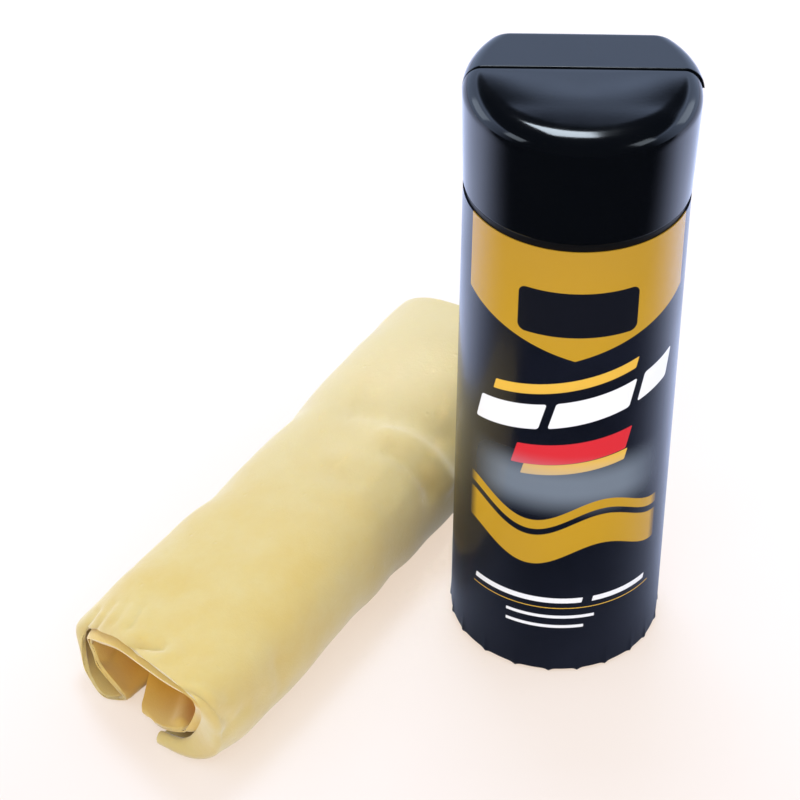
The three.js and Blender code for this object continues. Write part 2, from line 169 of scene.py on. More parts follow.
class Skin:
    """Grids of points in millimetres, each a surface of two parameters, joined into one mesh."""

    def __init__(self):
        self.points = []
        self.faces = []
        self.coordinates = []
        self.count = 0

    def add(self, grid, flip=False, coordinates=None):
        """Adds a grid of rows by columns. Its outside is where column step x row step points."""
        rows, columns = grid.shape[:2]
        index = np.arange(rows * columns).reshape(rows, columns) + self.count
        quads = np.stack([index[:-1, :-1], index[:-1, 1:], index[1:, 1:], index[1:, :-1]], axis=-1)
        quads = quads.reshape(-1, 4)
        self.faces.append(quads[:, ::-1] if flip else quads)
        self.points.append(grid.reshape(-1, 3))
        if coordinates is None:
            coordinates = np.zeros((rows, columns, 2))
        self.coordinates.append(coordinates.reshape(-1, 2))
        self.count += rows * columns

    def add_wall(self, front, back, closed=False, coordinates=None):
        """Adds a sheet's two faces and the strips round its border. A closed one has no sides."""
        self.add(front, coordinates=coordinates)
        self.add(back, flip=True, coordinates=coordinates)
        strips = [(back[0], front[0]), (front[-1], back[-1])]
        marks = [] if coordinates is None else [coordinates[0], coordinates[-1]]
        if not closed:
            strips += [(front[:, 0], back[:, 0]), (back[:, -1], front[:, -1])]
            marks += [] if coordinates is None else [coordinates[:, 0], coordinates[:, -1]]
        for k, strip in enumerate(strips):
            self.add(np.stack(strip), coordinates=np.stack([marks[k]] * 2) if marks else None)

    def object_named(self, name, sharp_degrees=40):
        """Welds the grids where they meet and returns the object, shaded smooth between edges."""
        mesh = bpy.data.meshes.new(name)
        faces = np.vstack(self.faces)
        mesh.from_pydata(np.vstack(self.points) * MM, [], faces)
        layer = mesh.uv_layers.new(name="flat")
        layer.data.foreach_set("uv", np.vstack(self.coordinates)[faces.ravel()].ravel())
        shell = bmesh.new()
        shell.from_mesh(mesh)
        bmesh.ops.remove_doubles(shell, verts=shell.verts, dist=WELD_DISTANCE)
        bmesh.ops.dissolve_degenerate(shell, edges=shell.edges, dist=WELD_DISTANCE)
        shell.to_mesh(mesh)
        shell.free()
        mesh.shade_smooth()
        mesh.set_sharp_from_angle(angle=math.radians(sharp_degrees))
        piece = bpy.data.objects.new(name, mesh)
        bpy.context.scene.collection.objects.link(piece)
        return piece


def eased(value, low=0.0, high=1.0):
    """0 up to low, 1 from high, and between them 3t^2 - 2t^3 of the share t."""
    share = np.clip((value - low) / (high - low), 0, 1)
    return share * share * (3 - 2 * share)


def least_of(first, second, sharpness=70):
    """The smaller of two positive lengths, with a rounded change: (a^-n + b^-n)^(-1/n)."""
    scale = np.minimum(first, second)
    total = (first / scale) ** -sharpness + (second / scale) ** -sharpness
    return scale * total ** (-1 / sharpness)


def rounded_path(corners, steps=5):
    """A path through corners, each given as across, up and radius. A corner with a radius turns
    into the parabola through the points that lie that far before and after it."""
    corners = np.asarray(corners, float)
    share = np.linspace(0, 1, steps + 1)[:, None]
    parts = [corners[:1, :2]]
    for before, corner, after in zip(corners[:-2], corners[1:-1], corners[2:]):
        middle = corner[None, :2]
        if corner[2] == 0:
            parts.append(middle)
            continue
        back, on = before[:2] - corner[:2], after[:2] - corner[:2]
        start = middle + corner[2] * back / np.linalg.norm(back)
        end = middle + corner[2] * on / np.linalg.norm(on)
        parts.append((1 - share) ** 2 * start + 2 * share * (1 - share) * middle + share ** 2 * end)
    return np.vstack(parts + [corners[-1:, :2]])


def refined(path, coarse, fine=None, low=0.0, high=0.0):
    """The same path with extra points, so that none is further than coarse from the next, or
    than fine between two heights."""
    steps = np.linalg.norm(np.diff(path, axis=0), axis=1)
    middle = (path[1:, 1] + path[:-1, 1]) / 2
    target = np.where((middle > low) & (middle < high), fine or coarse, coarse)
    counts = np.maximum(1, np.ceil(steps / target - 1e-6)).astype(int)
    parts = [
        start + (end - start) * np.linspace(0, 1, count, endpoint=False)[:, None]
        for start, end, count in zip(path[:-1], path[1:], counts)
    ]
    return np.vstack(parts + [path[-1:]])


def circle(columns):
    """Angles once round, the last equal to the first."""
    return np.linspace(0, 2 * math.pi, columns + 1)


def round_points(radius, angle):
    """Points of the plane at a radius and an angle: (r cos t, r sin t)."""
    return radius * np.stack([np.cos(angle), np.sin(angle)], axis=-1)


def turned(radius, height, angle):
    """Radius and height carried round the Z axis: (r cos t, r sin t, z)."""
    radius, height, angle = np.broadcast_arrays(radius, height, angle)
    return np.stack([radius * np.cos(angle), radius * np.sin(angle), height], axis=-1)


def turned_path(path, columns):
    """A path of radius and height carried once round the Z axis."""
    return turned(path[:, 0, None], path[:, 1, None], circle(columns)[None])


def between(start, end, shares):
    """Rows of points at the given shares of the way from one row to another."""
    return start + np.asarray(shares, float)[:, None, None] * (end - start)


def along_loop(corners, count):
    """Points evenly spaced along a closed run of corners, the last equal to the first."""
    closed = np.vstack([corners, corners[:1]])
    run = np.concatenate([[0], np.cumsum(np.linalg.norm(np.diff(closed, axis=0), axis=1))])
    at = np.linspace(0, run[-1], count + 1)
    return np.stack([np.interp(at, run, closed[:, 0]), np.interp(at, run, closed[:, 1])], axis=-1)


# Screw thread, one start, right-handed

THREAD_LEAD = 8.0
THREAD_DEPTH = 1.5
THREAD_ROOT = 3.0
THREAD_CREST = 1.4
THREAD_RUN_OUT = 0.08
THREAD_TURNS = 1.25
NECK_THREAD_START = 4.6
CAP_THREAD_LAG = 3.5
CAP_FIRST_TURN = 0.2


def thread_rise(angle, height, start, first_turn):
    """How far a helical ridge stands from its wall. Across it is a trapezoid about the height
    start + lead * turn, and along it the ridge runs out to nothing at both ends."""
    rise = np.zeros(np.broadcast(angle, height).shape)
    for lap in range(3):
        turn = np.mod(angle, 2 * math.pi) / (2 * math.pi) + lap
        from_end = np.minimum(turn - first_turn, first_turn + THREAD_TURNS - turn)
        off_middle = np.abs(height - start - THREAD_LEAD * turn)
        flank = (THREAD_ROOT / 2 - off_middle) / ((THREAD_ROOT - THREAD_CREST) / 2)
        ridge = THREAD_DEPTH * np.clip(flank, 0, 1) * eased(from_end, 0, THREAD_RUN_OUT)
        rise = np.maximum(rise, ridge)
    return rise


# Tube

BASE_CORNER = 2.4
BASE_PAD_RADIUS = 14.0
STANDING_RING_WIDTH = 7.0
BASE_RECESS = 0.8
TUBE_FLOOR = 2.2


def tube_surface(tube):
    """The tube's section turned round the axis, with the thread's ridge added to the neck."""
    radius, wall = tube.radius / MM, tube.wall / MM
    neck, shoulder = tube.neck_radius / MM, tube.shoulder / MM
    lip = shoulder + tube.neck_height / MM
    bore, neck_bore = radius - wall, neck - wall
    ring = radius - BASE_CORNER - STANDING_RING_WIDTH
    path = rounded_path([
        [0, 0, 0],
        [BASE_PAD_RADIUS, 0, 0.3],
        [BASE_PAD_RADIUS, BASE_RECESS, 0.2],
        [ring, BASE_RECESS, 0.2],
        [ring, 0, 0.3],
        [radius, 0, BASE_CORNER],
        [radius, shoulder, 1.2],
        [neck, shoulder, 0.4],
        [neck, lip, 0.5],
        [neck_bore, lip, 0.5],
        [neck_bore, shoulder - wall, 0.5],
        [bore, shoulder - wall - radius + neck, 0.5],
        [bore, TUBE_FLOOR, 1.2],
        [0, TUBE_FLOOR, 0],
    ])
    path = refined(path, 12, 0.4, shoulder, lip)
    angle, height = circle(240)[None], path[:, 1, None]
    on_neck = (np.abs(path[:, 0, None] - neck) < 0.01) & (height > shoulder + 0.5)
    rise = thread_rise(angle, height, shoulder + NECK_THREAD_START, 0) * on_neck
    return turned(path[:, 0, None] + rise, height, angle)


# Sleeve

SLEEVE_TOP_GAP = 2.8
PLEAT_ROOT_TUCK = 14.0
PLEAT_TIP_TUCK = 36.0
PLEAT_STAND = 0.55
PLEAT_FLAT = 0.17
PLEAT_HEIGHT = 13.0
PLEAT_ROWS = 12
PLAIN_ROWS = (60, 120, 160)
SLEEVE_COLUMNS = 528


def pleat_share(angle, count):
    """1 on the crest of a pleat and 0 across the facet between two. The pleats are unevenly
    spaced, and a crest is sharp: the share is the sixth power of the place in the facet."""
    spread = np.random.default_rng(5).uniform(0.78, 1.22, count)
    crests = np.concatenate([[0], np.cumsum(spread)]) * 2 * math.pi / spread.sum()
    place = np.interp(angle, crests, np.arange(count + 1))
    return np.abs(2 * np.mod(place, 1) - 1) ** 6


def sleeve_faces(tube):
    """The film's outer and inner face: up the wall, and below round the tube's base corner, to
    a tuck angle that is larger at each pleat's crest. The pleats stand out from the film, the
    facets between them are drawn flat, and both fade out upwards."""
    corner = tube.radius / MM - BASE_CORNER
    top = tube.shoulder / MM - SLEEVE_TOP_GAP
    angle = circle(SLEEVE_COLUMNS)[None]
    crest = pleat_share(angle, tube.pleats)
    tuck = np.radians(PLEAT_ROOT_TUCK + (PLEAT_TIP_TUCK - PLEAT_ROOT_TUCK) * crest)
    bend = np.linspace(1, 0, 7)[:, None] * tuck
    steps = np.append(np.geomspace(0.8, PLEAT_HEIGHT + 6, PLEAT_ROWS), PLAIN_ROWS)
    rise = np.append(BASE_CORNER + steps, top)[:, None] + 0 * angle
    faces = []
    for reach in (tube.film_gap + tube.film, tube.film_gap):
        height = np.concatenate([BASE_CORNER - (BASE_CORNER + reach / MM) * np.sin(bend), rise])
        lean = np.concatenate([np.cos(bend), np.ones_like(rise)])
        fade = 1 - eased(height, 0, PLEAT_HEIGHT)
        stand = fade ** 2 * (PLEAT_STAND * crest - PLEAT_FLAT * (1 - crest))
        faces.append(turned(corner + (BASE_CORNER + reach / MM + stand) * lean, height, angle))
    return faces


# Cap and lid

CAP_CORNER = 0.4
SLOPE_TOP = 17.0
SLOPE_BOTTOM = 22.6
BACK_WALL = 1.9
SKIRT_WALL = 1.5
GROOVE_BACK = 20.0
FRONT_EDGE_WIDTH = 9.5
FRONT_CROWN = 1.6
LID_EDGE_WIDTH = 6.4
LID_CROWN = 0.15
BLEND_LENGTH = 20.0
MOUTH_RADIUS = 31.0
MOUTH_FRONT = 6.5
MOUTH_BACK = 19.5
PARTING_RADIUS = 0.45
LID_WALL = 1.8
LID_OVERHANG = 0.45
LID_SHIFT = 0.4
PLUG_GAP = 0.4
PLUG_WALL = 1.4
PLUG_REACH = 1.5
HINGE_RADIUS = 2.2
HINGE_HALF = 13.0
HINGE_PIN_RADIUS = 1.1
HINGE_PIN_GAP = 0.3
HINGE_PIN_LENGTH = 3.2
HINGE_WALL_GAP = 0.4
EAR_GAP = 0.8
EAR_WIDTH = 4.0
EAR_ARC_START = math.radians(-24)
EAR_FOOT_TOP = -0.1
EAR_FOOT_BOTTOM = -5.7
EAR_BEVEL = 0.25
WEB_LIFT = 0.1
WEB_THICKNESS = 1.9
DECK_EDGE = 0.3
DECK_SHELF = 1.2
TOP_CROWDING = 1.8
LEAST_SLANT = 0.05


def crown(cap, radius, edge_width=FRONT_EDGE_WIDTH, drop=FRONT_CROWN, grow=0.0):
    """The cap's top as a height over the plan. It falls a little with the square of the radius,
    and over the edge's width it turns down as an ellipse: H * (1 - sqrt(1 - e^2)) of the share e
    of that width. The lid's is larger all round by grow."""
    outer = cap.top_radius / MM + grow
    share = np.clip((radius - outer + edge_width + grow) / (edge_width + grow), 0, 1)
    fall = drop * np.clip(radius / outer, 0, 1) ** 2
    turn_down = (cap.edge_height / MM + grow - drop) * (1 - np.sqrt(1 - share ** 2))
    return cap.top_height / MM + grow - fall - turn_down


def front_crown(cap, x, y):
    """The top before the parting line. Near that line its edge is as tight as the lid's."""
    ahead = eased(-y, -cap.parting / MM, BLEND_LENGTH)
    width = LID_EDGE_WIDTH + (FRONT_EDGE_WIDTH - LID_EDGE_WIDTH) * ahead
    drop = LID_CROWN + (FRONT_CROWN - LID_CROWN) * ahead
    return crown(cap, np.hypot(x, y), width, drop)


def lid_crown(cap, radius, grow=LID_OVERHANG):
    """The lid's top, flatter than the front of the cap and with a tighter edge."""
    return crown(cap, radius, LID_EDGE_WIDTH, LID_CROWN, grow)


def back_plane(cap, height):
    """How far back the cap reaches at a height: the flat above, the full round below and a
    slope between them, averaged over a small span so that its edges are round."""
    top = cap.top_height / MM
    spans = np.linspace(-0.9, 0.9, 9)
    heights = [top - SLOPE_BOTTOM, top - SLOPE_TOP]
    reach = [cap.top_radius / MM + 2, cap.back_flat / MM]
    return sum(np.interp(height + span, heights, reach) for span in spans) / len(spans)


def band_corners(radius, front, back, steps=14):
    """The part of a disc between two lines along X, as corners counter-clockwise from the right."""
    low, high = math.asin(front / radius), math.asin(back / radius)
    right = np.linspace(low, high, steps)
    return round_points(radius, np.concatenate([right, math.pi - right[::-1]]))


def cap_columns(cap):
    """Angles of the columns: first those behind the parting line, then those before it, then the
    first again, and which of them lie before it."""
    turn = math.asin(cap.parting / cap.top_radius)
    rear = np.linspace(turn, math.pi - turn, 161)
    front = np.linspace(math.pi - turn, 2 * math.pi + turn, 201)
    angle = np.concatenate([rear, front, rear[:1]])
    ahead = np.concatenate([np.zeros(len(rear)), np.ones(len(front)), [0]]).astype(bool)
    return angle, ahead


def mouth_edge(cap, angle, ahead):
    """The mouth's outline with a point for each column. Before the parting line the points run
    along the mouth's front edge, and behind it round the sides and the back."""
    corners = band_corners(MOUTH_RADIUS, MOUTH_FRONT, MOUTH_BACK)
    run = np.concatenate([[0], np.cumsum(np.linalg.norm(np.diff(corners, axis=0), axis=1))])
    turn = math.asin(cap.parting / cap.top_radius)
    share = np.clip((angle - turn) / (math.pi - 2 * turn), 0, 1)
    round_back = [np.interp(share * run[-1], run, corners[:, k]) for k in (0, 1)]
    across = np.clip(np.cos(angle) / math.cos(turn), -1, 1) * corners[0, 0]
    return np.stack([
        np.where(ahead, across, round_back[0]),
        np.where(ahead, MOUTH_FRONT, round_back[1]),
    ], axis=-1)


def outer_wall_rows(cap, angle, heights):
    """The cap's wall: a cone that the back plane cuts off with a rounded change."""
    rim, shoulder = cap.rim_height / MM, (cap.top_height - cap.edge_height) / MM
    share = (heights[:, None] - rim) / (shoulder - rim)
    round_wall = (cap.rim_radius + (cap.top_radius - cap.rim_radius) * share) / MM
    slant = np.maximum(np.sin(angle)[None], LEAST_SLANT)
    radius = least_of(round_wall + 0 * slant, back_plane(cap, heights)[:, None] / slant)
    return turned(radius, heights[:, None], angle[None])


def cap_surface(cap):
    """The whole cap as one closed ring of rows: rim, outer wall, top, parting step, deck, mouth,
    underside, chamber, skirt, groove and threaded bore."""
    angle, ahead = cap_columns(cap)
    rim, top = cap.rim_height / MM, cap.top_height / MM
    shoulder, deck = top - cap.edge_height / MM, top - cap.lid_depth / MM
    heights = np.concatenate([
        np.linspace(rim + CAP_CORNER, top - SLOPE_BOTTOM - 1, 6),
        np.linspace(top - SLOPE_BOTTOM - 0.7, top - SLOPE_TOP + 1, 14),
        np.linspace(top - SLOPE_TOP + 2, shoulder, 5),
    ])
    wall = outer_wall_rows(cap, angle, heights)
    rows = [wall]
    rows += cap_top_rows(cap, angle, ahead, wall[-1], deck)
    rows += cap_inner_rows(cap, angle, ahead, rows[-1][-1])
    return np.concatenate(rows + [wall[:1]])


def cap_top_rows(cap, angle, ahead, edge, deck):
    """From the wall's top to the mouth. Before the parting line the rows follow the crown along
    constant x and drop down the parting step; behind it they turn onto the deck."""
    parting = cap.parting / MM
    before = ahead[None, :, None]
    share = np.linspace(0, 1, 30)[1:, None]
    x, y = edge[None, :, 0], edge[None, :, 1]
    run = y + (parting - PARTING_RADIUS - y) * share ** TOP_CROWDING
    run = np.where(y < parting - PARTING_RADIUS, run, y)
    dome = np.stack([x + 0 * run, run, front_crown(cap, x, run)], axis=-1)
    inward = -edge[None, :, :2] / np.linalg.norm(edge[None, :, :2], axis=-1, keepdims=True)
    turn = np.clip(share * 3, 0, 1) * math.pi / 2
    shelf = DECK_SHELF * np.clip(share * 1.5 - 0.5, 0, 1)
    step_in = DECK_EDGE * (1 - np.cos(turn)) + shelf
    flat = np.concatenate([
        edge[None, :, :2] + inward * step_in[..., None],
        (edge[None, :, 2] + (deck - edge[None, :, 2]) * np.sin(turn))[..., None],
    ], axis=-1)
    top_rows = np.where(before, dome, flat)
    last = top_rows[-1]
    drop = np.clip((last[:, 2] - deck) * 0.45, 0, PARTING_RADIUS)
    turn = np.linspace(0, math.pi / 2, 6)[1:, None]
    y_line = np.maximum(parting, last[:, 1])
    rounding = np.stack([
        last[None, :, 0] + 0 * turn,
        last[None, :, 1] + (y_line - last[:, 1])[None] * np.sin(turn),
        last[None, :, 2] - drop[None] * (1 - np.cos(turn)),
    ], axis=-1)
    foot = np.stack([last[:, 0], y_line, 0 * y_line + deck], axis=-1)
    step = np.concatenate([rounding, between(rounding[-1], foot, [0.35, 0.7, 1])])
    mouth = mouth_edge(cap, angle, ahead)
    lip = np.concatenate([mouth, 0 * mouth[:, :1] + deck], axis=-1)
    slide = between(last, lip, np.linspace(0, 0.1, len(step) + 1)[1:])
    step_rows = np.where(before, step, slide)
    deck_rows = between(step_rows[-1], lip, np.linspace(0, 1, 8)[1:])
    return [top_rows, step_rows, deck_rows]


def cap_inner_rows(cap, angle, ahead, lip):
    """From the mouth's upper edge down through it, under the roof, down the chamber, round the
    skirt and the groove, and down the threaded bore to the rim."""
    top, deck = cap.top_height / MM, (cap.top_height - cap.lid_depth) / MM
    under_deck, ledge = deck - cap.roof / MM, cap.ledge / MM
    bore, rim = cap.bore / MM, cap.rim_height / MM
    slant = np.maximum(np.sin(angle), LEAST_SLANT)
    chamber_back = cap.back_flat / MM - BACK_WALL
    chamber = least_of(cap.chamber / MM + 0 * slant, chamber_back / slant)
    skirt = least_of(cap.chamber / MM + SKIRT_WALL + 0 * slant, (chamber_back + SKIRT_WALL) / slant)
    throat = lip.copy()
    throat[:, 2] = under_deck
    wall_x, wall_y = chamber * np.cos(angle), chamber * np.sin(angle)
    step_y = np.where(ahead, np.maximum(cap.parting / MM - cap.roof / MM, wall_y), wall_y)
    under = np.stack([wall_x, step_y, 0 * wall_x + under_deck], axis=-1)
    roof_height = crown(cap, np.hypot(wall_x, step_y)) - cap.roof / MM
    step_top = np.stack([wall_x, step_y, np.where(ahead, roof_height, under_deck)], axis=-1)
    share = np.linspace(0, 1, 12)[1:, None]
    run = step_y[None] + (wall_y - step_y)[None] * share
    roof_run = crown(cap, np.hypot(wall_x[None], run)) - cap.roof / MM
    roof = np.stack([
        wall_x[None] + 0 * run, run, np.where(ahead[None], roof_run, under_deck),
    ], axis=-1)
    fade = 1 - eased(bore * np.sin(angle), GROOVE_BACK - 4, GROOVE_BACK)
    groove_top = ledge + 0.02 + (under_deck - ledge) * fade
    down = np.linspace(ledge, rim + CAP_CORNER, 56)[:, None]
    rise = thread_rise(
        angle[None], down, rim - 0.3 + NECK_THREAD_START - CAP_THREAD_LAG, CAP_FIRST_TURN,
    )
    outside = cap.rim_radius / MM
    bevel = rounded_path([
        [bore, rim + CAP_CORNER, 0], [bore, rim, CAP_CORNER - 0.01], [bore + 1, rim, 0],
    ])
    outer_bevel = rounded_path([
        [outside - 1, rim, 0], [outside, rim, CAP_CORNER - 0.01], [outside, rim + CAP_CORNER, 0],
    ])
    return [
        between(lip, throat, [0.15, 0.85, 1]),
        between(throat, under, np.linspace(0, 1, 8)[1:]),
        between(under, step_top, [0.5, 1]),
        roof,
        between(roof[-1], turned(chamber, ledge, angle), [0.3, 0.7, 1]),
        turned(skirt, ledge, angle)[None],
        turned(skirt, groove_top, angle)[None],
        turned(bore, groove_top, angle)[None],
        turned(bore - rise, down, angle[None]),
        turned(bevel[1:, 0, None], bevel[1:, 1, None], angle[None]),
        turned(outer_bevel[:-1, 0, None], outer_bevel[:-1, 1, None], angle[None]),
    ]


def hinge_place(cap):
    """Where the hinge's axis crosses the YZ plane."""
    return np.array([
        cap.back_flat / MM + HINGE_WALL_GAP + HINGE_RADIUS,
        (cap.top_height - cap.lid_depth) / MM,
    ])


def hinge_ear(cap, side):
    """An eye on a foot: its outline and its hole, both round the hinge's axis, as a closed ring
    of rows along X."""
    place = hinge_place(cap)
    foot_y = cap.back_flat / MM - BACK_WALL / 2 - place[0]
    arc = np.linspace(EAR_ARC_START, math.pi, 40)
    foot = [[foot_y, EAR_FOOT_TOP], [foot_y, EAR_FOOT_BOTTOM]]
    outline = along_loop(np.vstack([round_points(HINGE_RADIUS, arc), foot]), 96)
    bearing = np.arctan2(outline[:, 1], outline[:, 0])
    hole = round_points(HINGE_PIN_RADIUS + HINGE_PIN_GAP, bearing)
    near = HINGE_HALF + EAR_GAP
    left, right = (near, near + EAR_WIDTH) if side > 0 else (-near - EAR_WIDTH, -near)
    tight = outline * (1 - EAR_BEVEL / HINGE_RADIUS * 0.6)
    rings = [
        (left, hole), (left, tight), (left + EAR_BEVEL, outline), (right - EAR_BEVEL, outline),
        (right, tight), (right, hole), (left, hole),
    ]
    return np.stack([
        np.concatenate([np.full((len(loop), 1), x), loop + place], axis=-1) for x, loop in rings
    ])


def lid_faces(cap):
    """The lid's outer and inner face. Rows run back over the lid, up its front edge and down its
    back; columns run across it and crowd at its ends, x = X(y) sin(t). The height is the share
    of the way from the seat up to the crown."""
    seat = (cap.top_height - cap.lid_depth + cap.lid_gap) / MM
    nominal = (cap.top_height / MM) - seat
    turn = np.linspace(-math.pi / 2, math.pi / 2, 121)
    faces = []
    for inset in (0, LID_WALL):
        front = (cap.parting + cap.lid_gap) / MM + inset
        back = cap.back_flat / MM - inset
        corner = (PARTING_RADIUS, 2.0) if inset == 0 else (0.3, 0.8)
        path = rounded_path([
            [front, 0, 0],
            [front, nominal - inset, corner[0]],
            [back, nominal - inset, corner[1]],
            [back, 0, 0],
        ], steps=8)
        path = np.vstack([
            between(path[None, 0], path[None, 1], np.linspace(0, 1, 5)[:-1])[:, 0],
            path[1:10],
            between(path[None, 9], path[None, 10], np.linspace(0, 1, 22)[1:-1])[:, 0],
            path[10:-1],
            between(path[None, -2], path[None, -1], np.linspace(0, 1, 5)[1:])[:, 0],
        ])
        grow = LID_OVERHANG - inset
        outer = cap.top_radius / MM + grow
        y = path[:, 0, None]
        x = np.sqrt(outer ** 2 - y ** 2) * np.sin(turn)[None]
        full = np.maximum(lid_crown(cap, np.hypot(x, y), grow), seat)
        height = seat + (full - seat) * path[:, 1, None] / (nominal - inset)
        faces.append(np.stack([x + LID_SHIFT, y + 0 * x, height], axis=-1))
    return faces


def plug_ring(cap):
    """The lid's plug: a wall that follows the mouth's outline, from below the deck up into the
    lid's roof, as a ring of rows."""
    deck = (cap.top_height - cap.lid_depth) / MM
    loops = []
    for gap in (PLUG_GAP, PLUG_GAP + PLUG_WALL):
        corners = band_corners(MOUTH_RADIUS - gap, MOUTH_FRONT + gap, MOUTH_BACK - gap)
        loops.append(along_loop(corners, 160))
    rows = []
    for loop, raised in ((0, 0), (0, 1), (1, 1), (1, 0), (0, 0)):
        x, y = loops[loop][:, 0], loops[loop][:, 1]
        roof = lid_crown(cap, np.hypot(x, y)) - LID_WALL / 2
        height = roof if raised else 0 * roof + deck - PLUG_REACH
        rows.append(np.stack([x + LID_SHIFT, y, height], axis=-1))
    return np.stack(rows)


def turned_along_x(path, place, columns=32):
    """A path of x and radius carried round the hinge's axis."""
    angle = circle(columns)[None]
    radius = path[:, 1, None]
    x = path[:, 0, None] + 0 * angle
    y, z = place[0] + radius * np.cos(angle), place[1] + radius * np.sin(angle)
    return np.stack([x, y, z], axis=-1)


def hinge_barrel(cap):
    """The lid's barrel with a stub pin at each end, turned along the hinge's axis."""
    half, pin = HINGE_HALF, HINGE_HALF + HINGE_PIN_LENGTH
    path = rounded_path([
        [-pin, 0, 0], [-pin, HINGE_PIN_RADIUS, 0.2], [-half, HINGE_PIN_RADIUS, 0.1],
        [-half, HINGE_RADIUS, 0.3], [half, HINGE_RADIUS, 0.3], [half, HINGE_PIN_RADIUS, 0.1],
        [pin, HINGE_PIN_RADIUS, 0.2], [pin, 0, 0],
    ])
    grid = turned_along_x(path, hinge_place(cap))
    grid[..., 0] += LID_SHIFT
    return grid


def hinge_web(cap):
    """The web from the lid's back wall to the barrel: a flat outline carried along X and drawn
    to its middle at both ends."""
    place = hinge_place(cap)
    low = (cap.top_height - cap.lid_depth + cap.lid_gap) / MM + WEB_LIFT
    high = low + WEB_THICKNESS
    y_front, y_back = cap.back_flat / MM - LID_WALL / 2, place[0]
    corners = np.array([[y_front, low], [y_back, low], [y_back, high], [y_front, high]])
    loop = along_loop(corners, 24)
    middle = corners.mean(0)
    rows = []
    for x, share in ((-HINGE_HALF, 0), (-HINGE_HALF, 1), (HINGE_HALF, 1), (HINGE_HALF, 0)):
        drawn = middle + (loop - middle) * share
        rows.append(np.concatenate([np.full((len(loop), 1), x + LID_SHIFT), drawn], axis=-1))
    return np.stack(rows)


# Cloth

ROLL_AZIMUTH = math.radians(58.7)
ROLL_NEAR_END = (-147.61, -79.02)
END_SLANT = 0.35
END_SETBACK = 5.0
END_STEP = 0.8
END_REACH = 16.0
ALONG_STEP = 2.1
ROUND_STEP = 1.7
HIDDEN_EVERY = 3
BEND_STEPS = 6
SECTION_STEPS = 1100
LOWEST = 0.03
TIP_PLACES = (298, 324)
PUFF_FADE = (10, 40)
OUTSIDE_PLACES = (160, 185)
GROUNDED_HEIGHTS = (2.2, 9)
TIP_PUFF = 1.4
END_ROUND = 5.0
END_CLOSE = 0.22
END_LENGTH = 8.0
NEAR_LENGTH = 26.0
MID_PLACE = 24.0

# The middle of the four plies across the roll, as across, up and ahead in millimetres: from the
# flap inside, up the right and over to the left, down to the left foot, back over the roof and
# down the right to the tip that is turned under. END is the very end, where the edges are drawn
# in and the tip closes; NEAR lies just behind it, then MID and, at the fold, FAR.
END_SECTION = [
    (-10.5, 3.8, 7.5), (-3, 5.8, 5.5), (5, 9, 6), (11.5, 12.6, 8), (14.8, 18, 9.5),
    (17.5, 25, 10), (20.2, 32, 8), (22.4, 37.5, 5), (21, 41.4, 3), (9, 41, 0.5), (-6, 38.6, 0),
    (-18, 36, 0), (-28.5, 31, 0), (-38, 24.6, 1), (-36.2, 21.2, 1), (-29.5, 16.5, 0),
    (-24, 11, 2), (-21.5, 6.5, 4), (-23.5, 3, 5), (-30, 2.8, 0), (-37, 7.4, -0.5),
    (-41, 14, 0), (-43, 21, 1.5), (-41.2, 26.4, 2.5), (-35, 31, 2.5), (-27.5, 35.6, 1.5),
    (-18, 40.2, 1), (-4, 43, 0.5), (9, 45, 0.5), (19.5, 45.6, 1), (26.2, 42.6, 3), (26.4, 36, 5),
    (23, 27, 7.5), (17, 15, 9), (11, 8, 7.5), (1.5, 6.6, 4.5),
]
NEAR_SECTION = [
    (-13, 3.6, 2), (-4, 6, 3), (5, 9.2, 3.5), (13, 12.2, 4.5), (19.5, 17, 5), (23.5, 23.5, 5),
    (25.6, 31, 3), (26, 38, 1), (22, 43.4, 0), (9, 43, 0), (-6, 40.6, 0), (-18.5, 38, 0),
    (-29, 32.5, 0), (-38.5, 26, -1), (-36, 21, -1), (-30, 15.5, 0), (-24, 10, 0), (-20.8, 6, 1),
    (-22.6, 2.8, 1), (-29, 2.6, -1), (-37.2, 7.2, -2), (-43.2, 13.4, -2), (-47.4, 21, -2.5),
    (-43.8, 27, -2), (-37, 33, -1), (-28.5, 39.2, 0), (-18, 43.4, 0), (-4, 45.4, 0),
    (9, 46.8, 0), (20.5, 48, 0), (29, 45.5, 0), (32, 36, 1), (31, 24, 2.5), (26.5, 11, 3.5),
    (16.5, 3.8, 2), (2, 3.4, -3),
]
MID_SECTION = [
    (-21.5, 7.8, 0), (-11, 5.4, 0), (1, 6.6, 0), (12, 8.6, 0), (20, 13.4, 0), (25, 21, 0),
    (27.5, 31, 0), (26.5, 38.5, 0), (21, 43.8, 0), (8, 44.8, 0), (-7, 43.4, 0), (-19.5, 40, 0),
    (-29.5, 34.5, 0), (-37.5, 27, 0), (-37, 20.5, 0), (-33, 14, 0), (-27.5, 8.4, 0),
    (-20.6, 5, 0), (-21.6, 2.4, 0), (-29, 2.4, 0), (-36.5, 7, 0), (-42, 13.5, 0),
    (-45, 21.5, 0), (-42.5, 29.5, 0), (-37, 37, 0), (-28.5, 42.5, 0), (-17, 46.2, 0),
    (-3.5, 48, 0), (10, 49.2, 0), (22, 48.2, 0), (30.5, 43.5, 0), (34, 34, 0), (34, 21, 0),
    (28.5, 9, 0), (18, 2.8, 0), (5, 2.6, 0),
]
